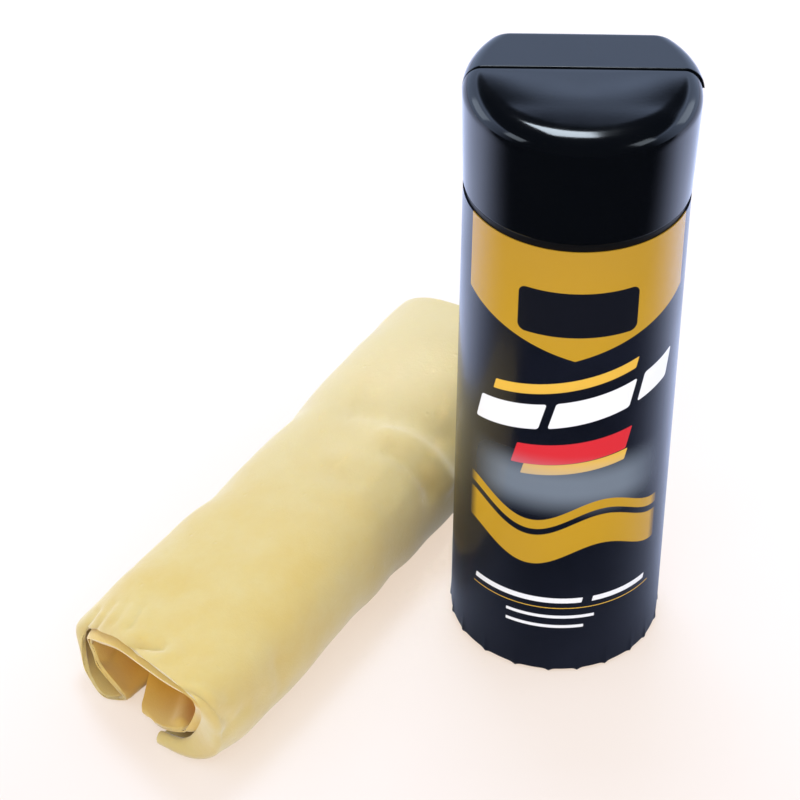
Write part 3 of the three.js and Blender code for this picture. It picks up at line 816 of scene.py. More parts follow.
FAR_SECTION = [
    (-8, 7, 0), (0, 6.2, 0), (8, 6.6, 0), (15, 9.5, 0), (20.5, 15, 0), (24, 26, 0),
    (24.2, 36, 0), (22, 44, 0), (16.5, 53, 0), (6, 58.5, 0), (-6, 58.5, 0), (-17, 53, 0),
    (-24, 45, 0), (-28, 36, 0), (-29, 27, 0), (-27.5, 19, 0), (-25.5, 12, 0), (-23, 6.5, 0),
    (-21.5, 3, 0), (-25.5, 2.4, 0), (-30.5, 7, 0), (-33, 15, 0), (-34.5, 25, 0),
    (-34.8, 36, 0), (-32.5, 47.5, 0), (-27.5, 56.5, 0), (-18, 62.2, 0), (-5, 64.4, 0),
    (7.5, 64.6, 0), (18.5, 61, 0), (26.5, 51.5, 0), (30.5, 39.5, 0), (31, 26, 0), (27, 12.5, 0),
    (19, 4, 0), (6, 2, 0),
]
# Corrections along the roll: share of its length, then factors on the reach to the left, on the
# reach to the right and on the height
REACH_ALONG = [
    (0, 1.0, 1.0, 1.0),
    (0.05, 1.01, 0.99, 0.995),
    (0.1, 1.0, 0.98, 0.99),
    (0.16, 0.98, 0.985, 0.975),
    (0.24, 1.02, 1.0, 0.965),
    (0.34, 1.02, 1.01, 0.965),
    (0.42, 0.98, 1.02, 0.965),
    (0.5, 0.95, 1.03, 0.95),
    (0.6, 0.955, 1.04, 0.94),
    (0.75, 0.98, 1.05, 0.97),
    (0.86, 1.0, 1.03, 0.97),
    (0.94, 0.975, 1.0, 0.965),
    (1, 0.93, 0.96, 0.955),
]


def smooth_columns(points, count):
    """A smooth curve through the points along the second axis: cubic pieces whose slope at each
    point is that between its neighbours. Returns count places, evenly spaced by number."""
    slope = np.gradient(points, axis=1)
    place = np.linspace(0, points.shape[1] - 1, count)
    before = np.minimum(place.astype(int), points.shape[1] - 2)
    t = (place - before)[None, :, None]
    start, end = points[:, before], points[:, before + 1]
    return (
        (2 * t ** 3 - 3 * t ** 2 + 1) * start + (t ** 3 - 2 * t ** 2 + t) * slope[:, before]
        + (3 * t ** 2 - 2 * t ** 3) * end + (t ** 3 - t ** 2) * slope[:, before + 1]
    )


def roll_sections(along, columns):
    """For each place along the roll, its section as points evenly spaced by length. The sections
    are blended one into the next, at the very end as a sine so that the end is rounded, and
    then stretched by the corrections."""
    end, near, mid, far = (
        np.array(section, float)
        for section in (END_SECTION, NEAR_SECTION, MID_SECTION, FAR_SECTION)
    )
    place = along[:, None, None]
    to_far = np.clip((place - MID_PLACE) / (along[-1] - MID_PLACE), 0, 1)
    body = mid + (far - mid) * to_far
    body = near + (body - near) * eased(place, 2, NEAR_LENGTH)
    control = end + (body - end) * np.sin(math.pi / 2 * np.clip(place / END_LENGTH, 0, 1))
    share = (along / along[-1])[:, None]
    table = np.array(REACH_ALONG, float)
    left, right, tall = (np.interp(share, table[:, 0], table[:, k]) for k in (1, 2, 3))
    control[..., 0] *= np.where(control[..., 0] < 0, left, right)
    control[..., 1] *= tall
    curve = smooth_columns(control, SECTION_STEPS)
    run = np.concatenate([
        np.zeros((len(along), 1)),
        np.cumsum(np.linalg.norm(np.diff(curve, axis=1), axis=-1), axis=1),
    ], axis=1)
    at = np.linspace(0, 1, columns)
    return np.stack([
        np.stack([np.interp(at * arc[-1], arc, row[:, k]) for k in (0, 1, 2)], axis=-1)
        for arc, row in zip(run, curve)
    ])


def waves(first, second, size, count, seed):
    """A smooth random field about zero: the sum of sines in random directions, each about size
    long."""
    draw = np.random.default_rng(seed)
    field = np.zeros(np.broadcast(first, second).shape)
    for _ in range(count):
        heading, phase = draw.uniform(0, 2 * math.pi, 2)
        reach = size * draw.uniform(0.6, 1.7) / (2 * math.pi)
        field += np.sin((first * math.cos(heading) + second * math.sin(heading)) / reach + phase)
    return field / math.sqrt(count)


# Creases and ridges, as along and round at both ends, width and height, in millimetres
CREASES = [
    (146, 233, 158, 267, 6, -2.6),
    (141, 250, 152, 281, 3.8, 2.4),
    (136, 256, 141, 278, 4, -1.7),
    (117, 238, 127, 257, 5, 0.9),
    (113, 247, 121, 262, 6, -1.0),
    (98, 250, 101, 256, 6, -0.8),
    (134, 196, 140, 206, 10, -1.5),
    (80, 196, 86, 205, 9, -1.0),
    (0, 199, 9, 203, 2.4, -1.0),
    (2, 209, 12, 212, 2.5, -0.9),
    (5, 218, 14, 219, 2.4, -0.8),
    (6, 226, 15, 226, 2.2, -0.8),
    (3, 238, 7, 243, 3, -2.1),
    (4, 232, 6, 234, 3.5, 0.9),
    (6, 246, 9, 249, 4, 1.2),
    (22, 228, 29, 236, 6, -0.8),
    (41, 282, 41, 294, 4, -1.0),
    (30, 289, 33, 293, 4, -0.8),
    (2, 271, 12, 284, 3, -1.3),
    (6, 264, 14, 275, 2.5, -0.9),
    (9, 290, 20, 287, 3, -1.0),
    (7, 22, 26, 20, 3.6, 2.4),
    (2, 138, 32, 138, 2.6, -1.0),
]


def crease_field(along, around):
    """The sum of the creases. Each is a bell across its line and runs out along it."""
    field = np.zeros(np.broadcast(along, around).shape)
    for along_0, around_0, along_1, around_1, width, height in CREASES:
        run = np.array([along_1 - along_0, around_1 - around_0])
        reach = max(float(run @ run), 1e-6)
        share = ((along - along_0) * run[0] + (around - around_0) * run[1]) / reach
        nearest = np.clip(share, 0, 1)
        off = np.hypot(along - along_0 - nearest * run[0], around - around_0 - nearest * run[1])
        field += height * np.exp(-(off / width) ** 2)
    return field


def roll_middle(cloth):
    """The middle of the folded stack, bent into the roll, as a grid of places along the roll by
    places round it."""
    half_width, half_length = cloth.flat_width / MM / 2, cloth.flat_length / MM / 2
    along = np.concatenate([
        np.arange(0, END_REACH, END_STEP),
        np.linspace(END_REACH, half_width, round((half_width - END_REACH) / ALONG_STEP) + 1),
    ])
    around = np.linspace(0, half_length, round(half_length / ROUND_STEP) + 1)
    section = roll_sections(along, len(around))
    across, up, ahead_by = section[..., 0], section[..., 1], section[..., 2]
    fade = 1 - (along / half_width)[:, None]
    run = along[:, None] - fade * (END_SETBACK + END_SLANT * across) + ahead_by
    ahead = np.array([math.cos(ROLL_AZIMUTH), math.sin(ROLL_AZIMUTH), 0])
    aside = np.array([math.sin(ROLL_AZIMUTH), -math.cos(ROLL_AZIMUTH), 0])
    points = np.array([*ROLL_NEAR_END, 0]) + run[..., None] * ahead + across[..., None] * aside
    points[..., 2] = up
    lift = cloth_relief(along[:, None], around[None]) * cloth.crumple
    grounded = eased(up, *GROUNDED_HEIGHTS)
    points = points + grid_normals(points) * (lift * grounded)[..., None]
    return points, along, around


def cloth_relief(along, around):
    """How far the cloth stands off its even roll: broad swells and smaller waves, stronger on
    the outside, and the creases."""
    outside = eased(around, *OUTSIDE_PLACES)
    swell = 0.7 * waves(along, around, 70, 14, 3) + 0.22 * waves(along, around, 26, 18, 8)
    return swell * (0.4 + 0.6 * outside) + crease_field(along, around)


def unit(vectors):
    """Each vector divided by its length."""
    return vectors / np.maximum(np.linalg.norm(vectors, axis=-1, keepdims=True), 1e-9)


def grid_normals(points):
    """Unit normals of a grid: the step between columns crossed with the step between rows."""
    return unit(np.cross(np.gradient(points, axis=1), np.gradient(points, axis=0)))


def doubled_back(count):
    """The way over a fold: each place once, then the last one again for the fold's bend, then
    every few places back. Returns those places and how far each is turned, from 0 to pi."""
    bend = np.linspace(0, math.pi, BEND_STEPS + 2)[1:-1]
    back = np.append(np.arange(count - 1, -1, -HIDDEN_EVERY), 0)
    place = np.concatenate([np.arange(count), np.full(BEND_STEPS, count - 1), back])
    return place, np.concatenate([np.zeros(count), bend, np.full(len(back), math.pi)])


def cloth_faces(cloth):
    """Both faces of the one sheet. The stack's middle carries four plies: folded along at the
    far end, so the side s goes from +1 to -1 as a half circle, and folded round at the tip, so
    the ply number m goes from 1.5 to 0.5. A point lies at middle + normal * pitch * m * s."""
    points, along, around = roll_middle(cloth)
    drawn_in = np.sqrt(1 - (1 - np.clip(along[:, None] / END_ROUND, 0, 1)) ** 2)
    puff = eased(around[None], *TIP_PLACES) * (1 - eased(along[:, None], *PUFF_FADE)) * drawn_in
    closed = 1 - END_CLOSE * (1 - drawn_in)
    pitch, ply = cloth.pitch / MM * (closed + TIP_PUFF * puff), cloth.ply / MM
    normal = grid_normals(points)
    ahead, onward = unit(np.gradient(points, axis=0)), unit(np.gradient(points, axis=1))
    row_pick, row_turn = doubled_back(len(along))
    column_pick, column_turn = doubled_back(len(around))
    number = (1 + 0.5 * np.cos(column_turn))[None]
    past_tip = (0.5 * np.sin(column_turn))[None]
    side, past_end = np.cos(row_turn)[:, None], np.sin(row_turn)[:, None]
    pick = np.ix_(row_pick, column_pick)
    pitch = pitch[pick]
    sheet = (
        points[pick]
        + normal[pick] * (pitch * number * side)[..., None]
        + ahead[pick] * (pitch * number * past_end)[..., None]
        + onward[pick] * (pitch * past_tip)[..., None]
    )
    outward = normal[pick] * side[..., None] * np.cos(column_turn)[None, :, None]
    outward = outward + ahead[pick] * past_end[..., None]
    outward = unit(outward + onward[pick] * np.sin(column_turn)[None, :, None])
    flat_row = along[row_pick] / along[-1] / 2
    flat_column = around[column_pick] / around[-1] / 2
    marks = np.stack(np.meshgrid(
        np.where(column_turn > math.pi / 2, 1 - flat_column, flat_column),
        np.where(row_turn > math.pi / 2, 1 - flat_row, flat_row),
    ), axis=-1)
    faces = [sheet + outward * ply / 2, sheet - outward * ply / 2]
    for face in faces:
        face[..., 2] = np.maximum(face[..., 2], LOWEST)
    return faces[0], faces[1], marks


# Materials

class Nodes:
    """Short ways to add nodes to a tree."""

    def __init__(self, tree):
        self.tree = tree

    def put(self, socket, value):
        """Sets a socket to a value, or links to it the output given as the value."""
        if isinstance(value, bpy.types.NodeSocket):
            self.tree.links.new(value, socket)
        else:
            socket.default_value = value

    def add(self, kind, sockets=None, **settings):
        """Adds a node with its settings and sockets, and returns it."""
        node = self.tree.nodes.new(kind)
        place = len(self.tree.nodes)
        node.location = (190 * (place // 6), -220 * (place % 6))
        for name, value in settings.items():
            setattr(node, name, value)
        for name, value in (sockets or {}).items():
            self.put(node.inputs[name], value)
        return node

    def math(self, operation, *values, clamp=False):
        """The result of a sum on values or outputs."""
        node = self.add("ShaderNodeMath", operation=operation, use_clamp=clamp)
        for socket, value in zip(node.inputs, values):
            self.put(socket, value)
        return node.outputs[0]

    def apart(self, first, second):
        """How far one value is from another."""
        return self.math("ABSOLUTE", self.math("SUBTRACT", first, second))

    def to_border(self, share):
        """How far a share of a sheet is from the nearer border: 0 there and 0.5 in the middle."""
        return self.math("MINIMUM", share, self.math("SUBTRACT", 1.0, share))

    def blend(self, share, first, second, way="MIX"):
        """Two colours mixed by a share."""
        node = self.add("ShaderNodeMix", data_type="RGBA", blend_type=way)
        for place, value in ((0, share), (6, first), (7, second)):
            self.put(node.inputs[place], value)
        return node.outputs[2]

    def ranged(self, value, low, high, to_low=0.0, to_high=1.0, smooth=False):
        """A value brought from one range to another and kept inside it."""
        way = "SMOOTHSTEP" if smooth else "LINEAR"
        node = self.add("ShaderNodeMapRange", interpolation_type=way)
        for socket, number in zip(node.inputs, (value, low, high, to_low, to_high)):
            self.put(socket, number)
        return node.outputs[0]

    def noise(self, vector, scale, detail=2.0, roughness=0.5):
        """A noise value of about 0 to 1."""
        return self.add("ShaderNodeTexNoise", {
            "Vector": vector, "Scale": scale, "Detail": detail, "Roughness": roughness,
        }).outputs["Fac"]

    def place(self):
        """Object coordinates, in metres."""
        return self.add("ShaderNodeTexCoord").outputs["Object"]


def effect(name, inputs, outputs):
    """A new shader node group with named inputs and outputs. Returns its nodes, the sockets
    that carry the inputs and those that take the outputs."""
    group = bpy.data.node_groups.new(name, "ShaderNodeTree")
    for title, kind, default in inputs:
        socket = group.interface.new_socket(name=title, in_out="INPUT", socket_type=kind)
        if default is not None:
            socket.default_value = default
    for title, kind in outputs:
        group.interface.new_socket(name=title, in_out="OUTPUT", socket_type=kind)
    nodes = Nodes(group)
    start, end = nodes.add("NodeGroupInput"), nodes.add("NodeGroupOutput")
    return nodes, start.outputs, end.inputs


def moulded_grain():
    """Fine unevenness of moulded plastic and film: a height and a small roughness change."""
    nodes, given, result = effect("Moulded grain", [
        ("Place", "NodeSocketVector", None),
        ("Fine", "NodeSocketFloat", 900.0),
        ("Broad", "NodeSocketFloat", 60.0),
    ], [("Height", "NodeSocketFloat"), ("Roughness", "NodeSocketFloat")])
    fine = nodes.noise(given["Place"], given["Fine"], 2)
    broad = nodes.noise(given["Place"], given["Broad"], 3)
    height = nodes.math("MULTIPLY_ADD", broad, 0.7, nodes.math("MULTIPLY", fine, 0.3))
    nodes.put(result["Height"], height)
    nodes.put(result["Roughness"], nodes.ranged(broad, 0.3, 0.7, -0.03, 0.03))
    return nodes.tree


def settled_dust():
    """Specks of dust: small round cells, kept where a broader noise is high."""
    nodes, given, result = effect("Settled dust", [
        ("Place", "NodeSocketVector", None),
        ("Size", "NodeSocketFloat", 700.0),
        ("Amount", "NodeSocketFloat", 0.5),
    ], [("Mask", "NodeSocketFloat")])
    cells = nodes.add("ShaderNodeTexVoronoi", {"Vector": given["Place"], "Scale": given["Size"]})
    speck = nodes.ranged(cells.outputs["Distance"], 0.06, 0.13, 1, 0)
    patch = nodes.noise(given["Place"], 55, 3)
    kept = nodes.ranged(patch, nodes.math("SUBTRACT", 1.0, given["Amount"]), 1.0, 0, 1)
    rare = nodes.math("GREATER_THAN", cells.outputs["Color"], 0.72)
    mask = nodes.math("MULTIPLY", nodes.math("MULTIPLY", speck, rare), kept, clamp=True)
    nodes.put(result["Mask"], mask)
    return nodes.tree


def fine_scratches():
    """Hair scratches: noise drawn out along one way, kept where it is highest."""
    nodes, given, result = effect("Fine scratches", [
        ("Place", "NodeSocketVector", None),
        ("Amount", "NodeSocketFloat", 0.5),
    ], [("Mask", "NodeSocketFloat")])
    drawn = nodes.add("ShaderNodeMapping", {
        "Vector": given["Place"], "Rotation": (0.3, 0.5, 0.7), "Scale": (1500, 40, 900),
    }).outputs[0]
    streak = nodes.ranged(nodes.noise(drawn, 1, 1), 0.7, 0.78, 0, 1)
    patch = nodes.ranged(nodes.noise(given["Place"], 35, 2), 0.52, 0.66, 0, 1)
    mask = nodes.math("MULTIPLY", streak, patch)
    nodes.put(result["Mask"], nodes.math("MULTIPLY", mask, given["Amount"], clamp=True))
    return nodes.tree


def slanted_bar():
    """A mask for a bar with rounded corners whose long side slants: the distance to a rounded
    box in coordinates sheared by the slope."""
    nodes, given, result = effect("Slanted bar", [
        ("Across", "NodeSocketFloat", 0.0),
        ("Up", "NodeSocketFloat", 0.0),
        ("Centre across", "NodeSocketFloat", 0.0),
        ("Centre up", "NodeSocketFloat", 0.0),
        ("Half width", "NodeSocketFloat", 10.0),
        ("Half height", "NodeSocketFloat", 2.0),
        ("Slope", "NodeSocketFloat", 0.0),
        ("Lean", "NodeSocketFloat", 0.0),
        ("Corner", "NodeSocketFloat", 0.5),
    ], [("Mask", "NodeSocketFloat")])
    across = nodes.math("SUBTRACT", given["Across"], given["Centre across"])
    up = nodes.math("SUBTRACT", given["Up"], given["Centre up"])
    up = nodes.math("SUBTRACT", up, nodes.math("MULTIPLY", across, given["Slope"]))
    across = nodes.math("SUBTRACT", across, nodes.math("MULTIPLY", up, given["Lean"]))
    past = []
    for value, half in ((across, "Half width"), (up, "Half height")):
        edge = nodes.math("SUBTRACT", nodes.math("ABSOLUTE", value), given[half])
        past.append(nodes.math("MAXIMUM", nodes.math("ADD", edge, given["Corner"]), 0.0))
    squares = [nodes.math("MULTIPLY", value, value) for value in past]
    away = nodes.math("SQRT", nodes.math("ADD", *squares))
    away = nodes.math("SUBTRACT", away, given["Corner"])
    nodes.put(result["Mask"], nodes.ranged(away, 0.12, -0.12, 0, 1))
    return nodes.tree


def cloth_grain():
    """The cloth's own surface: suede-like grain and small pits as a height, and a mottling."""
    nodes, given, result = effect("Cloth grain", [
        ("Place", "NodeSocketVector", None),
        ("Grain", "NodeSocketFloat", 1400.0),
        ("Mottle", "NodeSocketFloat", 45.0),
    ], [("Height", "NodeSocketFloat"), ("Mottling", "NodeSocketFloat")])
    grain = nodes.noise(given["Place"], given["Grain"], 3, 0.6)
    nap = nodes.noise(given["Place"], nodes.math("MULTIPLY", given["Grain"], 0.28), 3, 0.55)
    cells = nodes.add("ShaderNodeTexVoronoi", {"Vector": given["Place"], "Scale": 260.0})
    rare = nodes.math("GREATER_THAN", cells.outputs["Color"], 0.84)
    hollow = nodes.ranged(cells.outputs["Distance"], 0.05, 0.3, 1, 0, smooth=True)
    pit = nodes.math("MULTIPLY", hollow, rare)
    height = nodes.math("MULTIPLY_ADD", nap, 0.6, nodes.math("MULTIPLY", grain, 0.4))
    nodes.put(result["Height"], nodes.math("SUBTRACT", height, nodes.math("MULTIPLY", pit, 0.8)))
    nodes.put(result["Mottling"], nodes.noise(given["Place"], given["Mottle"], 5, 0.6))
    return nodes.tree


def use_group(nodes, tree, **sockets):
    """Places a group in a material, with its inputs by name. An underscore stands for a space."""
    node = nodes.add("ShaderNodeGroup", node_tree=tree)
    for name, value in sockets.items():
        nodes.put(node.inputs[name.replace("_", " ")], value)
    return node.outputs


def new_material(name, **shader):
    """A material with a Principled BSDF, whose plain values are given by name. An underscore
    stands for a space."""
    material = bpy.data.materials.new(name)
    material.use_nodes = True
    material.node_tree.nodes.clear()
    nodes = Nodes(material.node_tree)
    surface = nodes.add("ShaderNodeBsdfPrincipled")
    for title, value in shader.items():
        surface.inputs[title.replace("_", " ")].default_value = value
    nodes.add("ShaderNodeOutputMaterial", {"Surface": surface.outputs[0]})
    return material, nodes, surface.inputs


def bumped(nodes, height, distance, strength=1.0):
    """A normal raised by a height, whose full range is the distance in metres."""
    return nodes.add("ShaderNodeBump", {
        "Height": height, "Distance": distance, "Strength": strength,
    }).outputs[0]


BLACK = (0, 0, 0, 1)
DUST_TINT = (0.35, 0.34, 0.33, 1)
DUST_COVER = 0.5
DUST_ROUGHNESS = 0.4
SCRATCH_ROUGHNESS = 0.18


def plastic_material(name, tint, effects, roughness, dust=0.45, scratches=0.4, relief=1.2e-5):
    """Moulded plastic: even colour with a trace of dust and fine scratches."""
    material, nodes, surface = new_material(name, IOR=1.49)
    place = nodes.place()
    grain = use_group(nodes, effects["grain"], Place=place)
    specks = use_group(nodes, effects["dust"], Place=place, Amount=dust)["Mask"]
    marks = use_group(nodes, effects["scratches"], Place=place, Amount=scratches)["Mask"]
    base = nodes.blend(nodes.math("MULTIPLY", specks, DUST_COVER), tuple(tint), DUST_TINT)
    nodes.put(surface["Base Color"], base)
    rough = nodes.math("ADD", grain["Roughness"], roughness)
    rough = nodes.math("MULTIPLY_ADD", specks, DUST_ROUGHNESS, rough)
    rough = nodes.math("MULTIPLY_ADD", marks, SCRATCH_ROUGHNESS, rough, clamp=True)
    nodes.put(surface["Roughness"], rough)
    nodes.put(surface["Normal"], bumped(nodes, grain["Height"], relief))
    return material


# The print, in millimetres of arc round the tube and of height up it. A range is where a mask
# begins and where it is full.
GROUND_WORN_RANGE = (0.35, 0.7)
GROUND_WORN_TINT = (0.007, 0.009, 0.018, 1)
FIELD_HALF_WIDTH = 47
FIELD_POINT_HEIGHT = 150.3
FIELD_SIDE_HEIGHT = 166.4
FIELD_MIDDLE = 0.85
FIELD_LOWER_RANGE = (-0.15, 0.15)
FIELD_SIDE_RANGE = (47.1, 46.8)
FIELD_TOP_RANGE = (150, 200)
FIELD_TOP_TINT = (0.435, 0.243, 0.019, 1)
WAVE_TURN = 0.115
WAVE_RISE = 5.0
WAVE_HEIGHT = 66.0
WAVE_SIDE_RANGE = (41, 37)
WAVE_BAND_RANGE = (7.2, 6.8)
WAVE_LINE_ABOVE = 12.0
WAVE_LINE_RANGE = (2.3, 2.0)
MIST_HEIGHT = 92.0
MIST_RANGE = (16, 2)
MIST_SIDE_RANGE = (44, 20)
MIST_STRENGTH = 0.5
MIST_TINT = (0.30, 0.36, 0.44, 1)
FILM_DUST_TINT = (0.4, 0.4, 0.4, 1)
FILM_DUST_COVER = 0.35
FILM_ROUGHNESS = 0.24
FILM_RELIEF = 3e-5


def printed_field(tube, nodes, place, arc, up):
    """The print's dark ground and, over it, the yellow field that comes to a point below."""
    worn = nodes.ranged(nodes.noise(place, 22, 3), *GROUND_WORN_RANGE)
    ground = nodes.blend(worn, tuple(tube.ground), GROUND_WORN_TINT)
    lower = nodes.ranged(
        nodes.math("ABSOLUTE", arc), 0, FIELD_HALF_WIDTH, FIELD_POINT_HEIGHT, FIELD_SIDE_HEIGHT,
    )
    field = nodes.ranged(nodes.math("SUBTRACT", up, lower), *FIELD_LOWER_RANGE)
    sides = nodes.ranged(nodes.apart(arc, FIELD_MIDDLE), *FIELD_SIDE_RANGE)
    high = nodes.ranged(up, *FIELD_TOP_RANGE)
    tint = nodes.blend(high, tuple(tube.yellow), FIELD_TOP_TINT)
    return nodes.blend(nodes.math("MULTIPLY", field, sides), ground, tint)


def wave_band(nodes, arc, up):
    """Masks for a band along a wave with a thinner line above it, and for a mist behind them."""
    wave = nodes.math("SINE", nodes.math("MULTIPLY", arc, WAVE_TURN))
    wave = nodes.math("MULTIPLY_ADD", wave, WAVE_RISE, WAVE_HEIGHT)
    off_wave = nodes.math("SUBTRACT", up, wave)
    band = nodes.ranged(nodes.math("ABSOLUTE", off_wave), *WAVE_BAND_RANGE)
    line = nodes.ranged(nodes.apart(off_wave, WAVE_LINE_ABOVE), *WAVE_LINE_RANGE)
    aside = nodes.math("ABSOLUTE", arc)
    both = nodes.math("MAXIMUM", band, line)
    both = nodes.math("MULTIPLY", both, nodes.ranged(aside, *WAVE_SIDE_RANGE))
    mist = nodes.ranged(nodes.apart(up, MIST_HEIGHT), *MIST_RANGE, 0, MIST_STRENGTH, smooth=True)
    mist = nodes.math("MULTIPLY", mist, nodes.ranged(aside, *MIST_SIDE_RANGE, smooth=True))
    return both, mist


def film_material(tube, effects):
    """The printed film: a yellow field over a dark ground, a plate, bars, blocks and a wave, all
    drawn in arc length round the tube and height up it, in millimetres."""
    material, nodes, surface = new_material(
        "Printed film", IOR=1.43, Coat_Weight=0.1, Coat_Roughness=0.06,
    )
    place = nodes.place()
    parts = nodes.add("ShaderNodeSeparateXYZ", {"Vector": place}).outputs
    bearing = nodes.math("ARCTAN2", parts["X"], nodes.math("MULTIPLY", parts["Y"], -1.0))
    arc = nodes.math("MULTIPLY", bearing, (tube.radius + tube.film_gap + tube.film) / MM)
    up = nodes.math("MULTIPLY", parts["Z"], 1 / MM)
    base = printed_field(tube, nodes, place, arc, up)
    for across, height, half_width, half_height, slope, lean, corner, tint in PRINTED_BARS:
        mask = use_group(
            nodes, effects["bar"], Across=arc, Up=up, Centre_across=across, Centre_up=height,
            Half_width=half_width, Half_height=half_height, Slope=slope, Lean=lean, Corner=corner,
        )["Mask"]
        base = nodes.blend(mask, base, tuple(getattr(tube, tint)))
    band, mist = wave_band(nodes, arc, up)
    base = nodes.blend(mist, base, MIST_TINT)
    base = nodes.blend(band, base, tuple(tube.yellow))
    grain = use_group(nodes, effects["grain"], Place=place, Fine=500.0, Broad=35.0)
    specks = use_group(nodes, effects["dust"], Place=place, Amount=0.4)["Mask"]
    base = nodes.blend(nodes.math("MULTIPLY", specks, FILM_DUST_COVER), base, FILM_DUST_TINT)
    nodes.put(surface["Base Color"], base)
    nodes.put(surface["Roughness"], nodes.math("ADD", grain["Roughness"], FILM_ROUGHNESS))
    nodes.put(surface["Normal"], bumped(nodes, grain["Height"], FILM_RELIEF))
    return material


# The plate, bars and blocks of the print: centre across and up, half width, half height, slope,
# lean, corner radius and colour
PRINTED_BARS = [
    (0.5, 170.2, 22, 9.6, 0, 0, 3, "plate"),
    (-3, 138.6, 27, 2.2, 0.245, 0.25, 0.4, "gold"),
    (-24, 121.0, 13.5, 5.6, 0.23, 0.25, 1.0, "pale"),
    (8, 128.4, 15.0, 5.6, 0.23, 0.25, 1.0, "pale"),
    (34, 134.6, 7.5, 5.6, 0.23, 0.25, 1.0, "pale"),
    (0.9, 108.3, 21.5, 4.6, 0.16, 0.25, 0.4, "red"),
    (2.2, 101.4, 19.4, 2.3, 0.15, 0.25, 0.4, "gold"),
    (0.9, 33.0, 38, 0.18, 0, 0, 0.1, "gold"),
    (-14, 36.8, 22, 1.2, 0.0, 0.2, 0.3, "pale"),
    (24, 36.8, 12, 1.2, 0.0, 0.2, 0.3, "pale"),
    (-4, 28.6, 17, 0.7, 0, 0, 0.3, "pale"),
    (-6, 23.8, 15, 0.7, 0, 0, 0.3, "pale"),
]


# Ranges of the cloth's painted light and shade: two places on the flat sheet, as shares of it
# from the nearer border, and the strength at each. The first two count round the roll, the others
# along it.
# Painted shade inside the roll, round it
INNER_SHADE_ROUND_RANGE = (0.258, 0.225, 0.0, 1.0)
# Painted light: paler towards the fold, and round the roll fading out near the middle of the sheet
LIT_PALE_ROUND_RANGE = (0.36, 0.43, 1.0, 0.1)
LIT_PALE_RANGE = (0.06, 0.42, 0.0, 0.8)
# Painted shade inside the roll, along it: weaker at the very end and fading towards the fold
INNER_SHADE_START_RANGE = (0.0, 0.07, 0.25, 1.0)
INNER_SHADE_FADE_RANGE = (0.3, 0.48, 1.0, 0.2)
# Ranges of the mottling noise
MOTTLE_RANGE = (0.3, 0.7)
CLOTH_ROUGHNESS_RANGE = (0.2, 0.8, 0.8, 0.95)
CLOTH_SOAK = (1.0, 0.8, 0.4)
CLOTH_GRAIN_HEIGHT = 2.2e-4


def cloth_material(cloth, effects):
    """Matte synthetic chamois: suede grain, pits and mottling, with painted light that makes it
    paler towards the fold, and painted shade and glow that make it deeper yellow inside the roll."""
    material, nodes, surface = new_material(
        "Chamois", Sheen_Weight=0.5, Sheen_Roughness=0.45, Subsurface_Weight=0.35,
        Subsurface_Radius=CLOTH_SOAK, Subsurface_Scale=0.0025, Specular_IOR_Level=0.2,
        Emission_Strength=1.0,
    )
    grain = use_group(nodes, effects["cloth"], Place=nodes.place())
    mottle = nodes.ranged(grain["Mottling"], *MOTTLE_RANGE)
    base = nodes.blend(mottle, tuple(cloth.chamois), tuple(cloth.mottled))
    marks = nodes.add("ShaderNodeTexCoord").outputs["UV"]
    flat = nodes.add("ShaderNodeSeparateXYZ", {"Vector": marks}).outputs
    to_edge, off_end = nodes.to_border(flat["X"]), nodes.to_border(flat["Y"])
    # Painted light: paler yellow towards the fold, where the back light falls, with less of it near
    # the middle of the sheet round the roll.
    painted_lit_pale = nodes.ranged(off_end, *LIT_PALE_RANGE, smooth=True)
    painted_lit_pale = nodes.math("MULTIPLY", painted_lit_pale, nodes.ranged(to_edge, *LIT_PALE_ROUND_RANGE, smooth=True))
    base = nodes.blend(painted_lit_pale, base, tuple(cloth.painted_lit_pale))
    # Painted shade: deeper yellow inside the roll, standing in for the shade and bounced light
    # there.
    painted_inner_shade = nodes.ranged(to_edge, *INNER_SHADE_ROUND_RANGE, smooth=True)
    painted_inner_shade = nodes.math("MULTIPLY", painted_inner_shade, nodes.ranged(off_end, *INNER_SHADE_START_RANGE))
    painted_inner_shade = nodes.math("MULTIPLY", painted_inner_shade, nodes.ranged(off_end, *INNER_SHADE_FADE_RANGE, smooth=True))
    nodes.put(surface["Base Color"], nodes.blend(painted_inner_shade, base, tuple(cloth.painted_inner_shade)))
    # Painted glow: inside the roll the cloth gives off light, though no lamp is there.
    nodes.put(surface["Emission Color"], nodes.blend(painted_inner_shade, BLACK, tuple(cloth.glow)))
    rough = nodes.ranged(grain["Mottling"], *CLOTH_ROUGHNESS_RANGE)
    nodes.put(surface["Roughness"], rough)
    nodes.put(surface["Normal"], bumped(nodes, grain["Height"], CLOTH_GRAIN_HEIGHT, 0.8))
    return material


def rubber_material(tube, effects):
    """Matte moulded rubber."""
    return plastic_material(
        "Seal rubber", tube.rubber, effects, roughness=0.7, dust=0.3, scratches=0.1, relief=3e-5,
    )


def cap_plastic(name, cap, effects):
    """The cap's and the lid's glossy plastic."""
    return plastic_material(name, cap.plastic, effects, roughness=0.12, dust=0.3)


EFFECTS = {}


def shared_effects():
    """The shared node groups, each built once."""
    if not EFFECTS:
        EFFECTS.update(
            grain=moulded_grain(), dust=settled_dust(), scratches=fine_scratches(),
            bar=slanted_bar(), cloth=cloth_grain(),
        )
    return EFFECTS


# Operators

def dress(piece, node, body, material):
    """Gives a piece its material and its place in the frame, and hides the CAD node under it."""
    piece.data.materials.append(material)
    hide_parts(node)
    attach(piece, body)


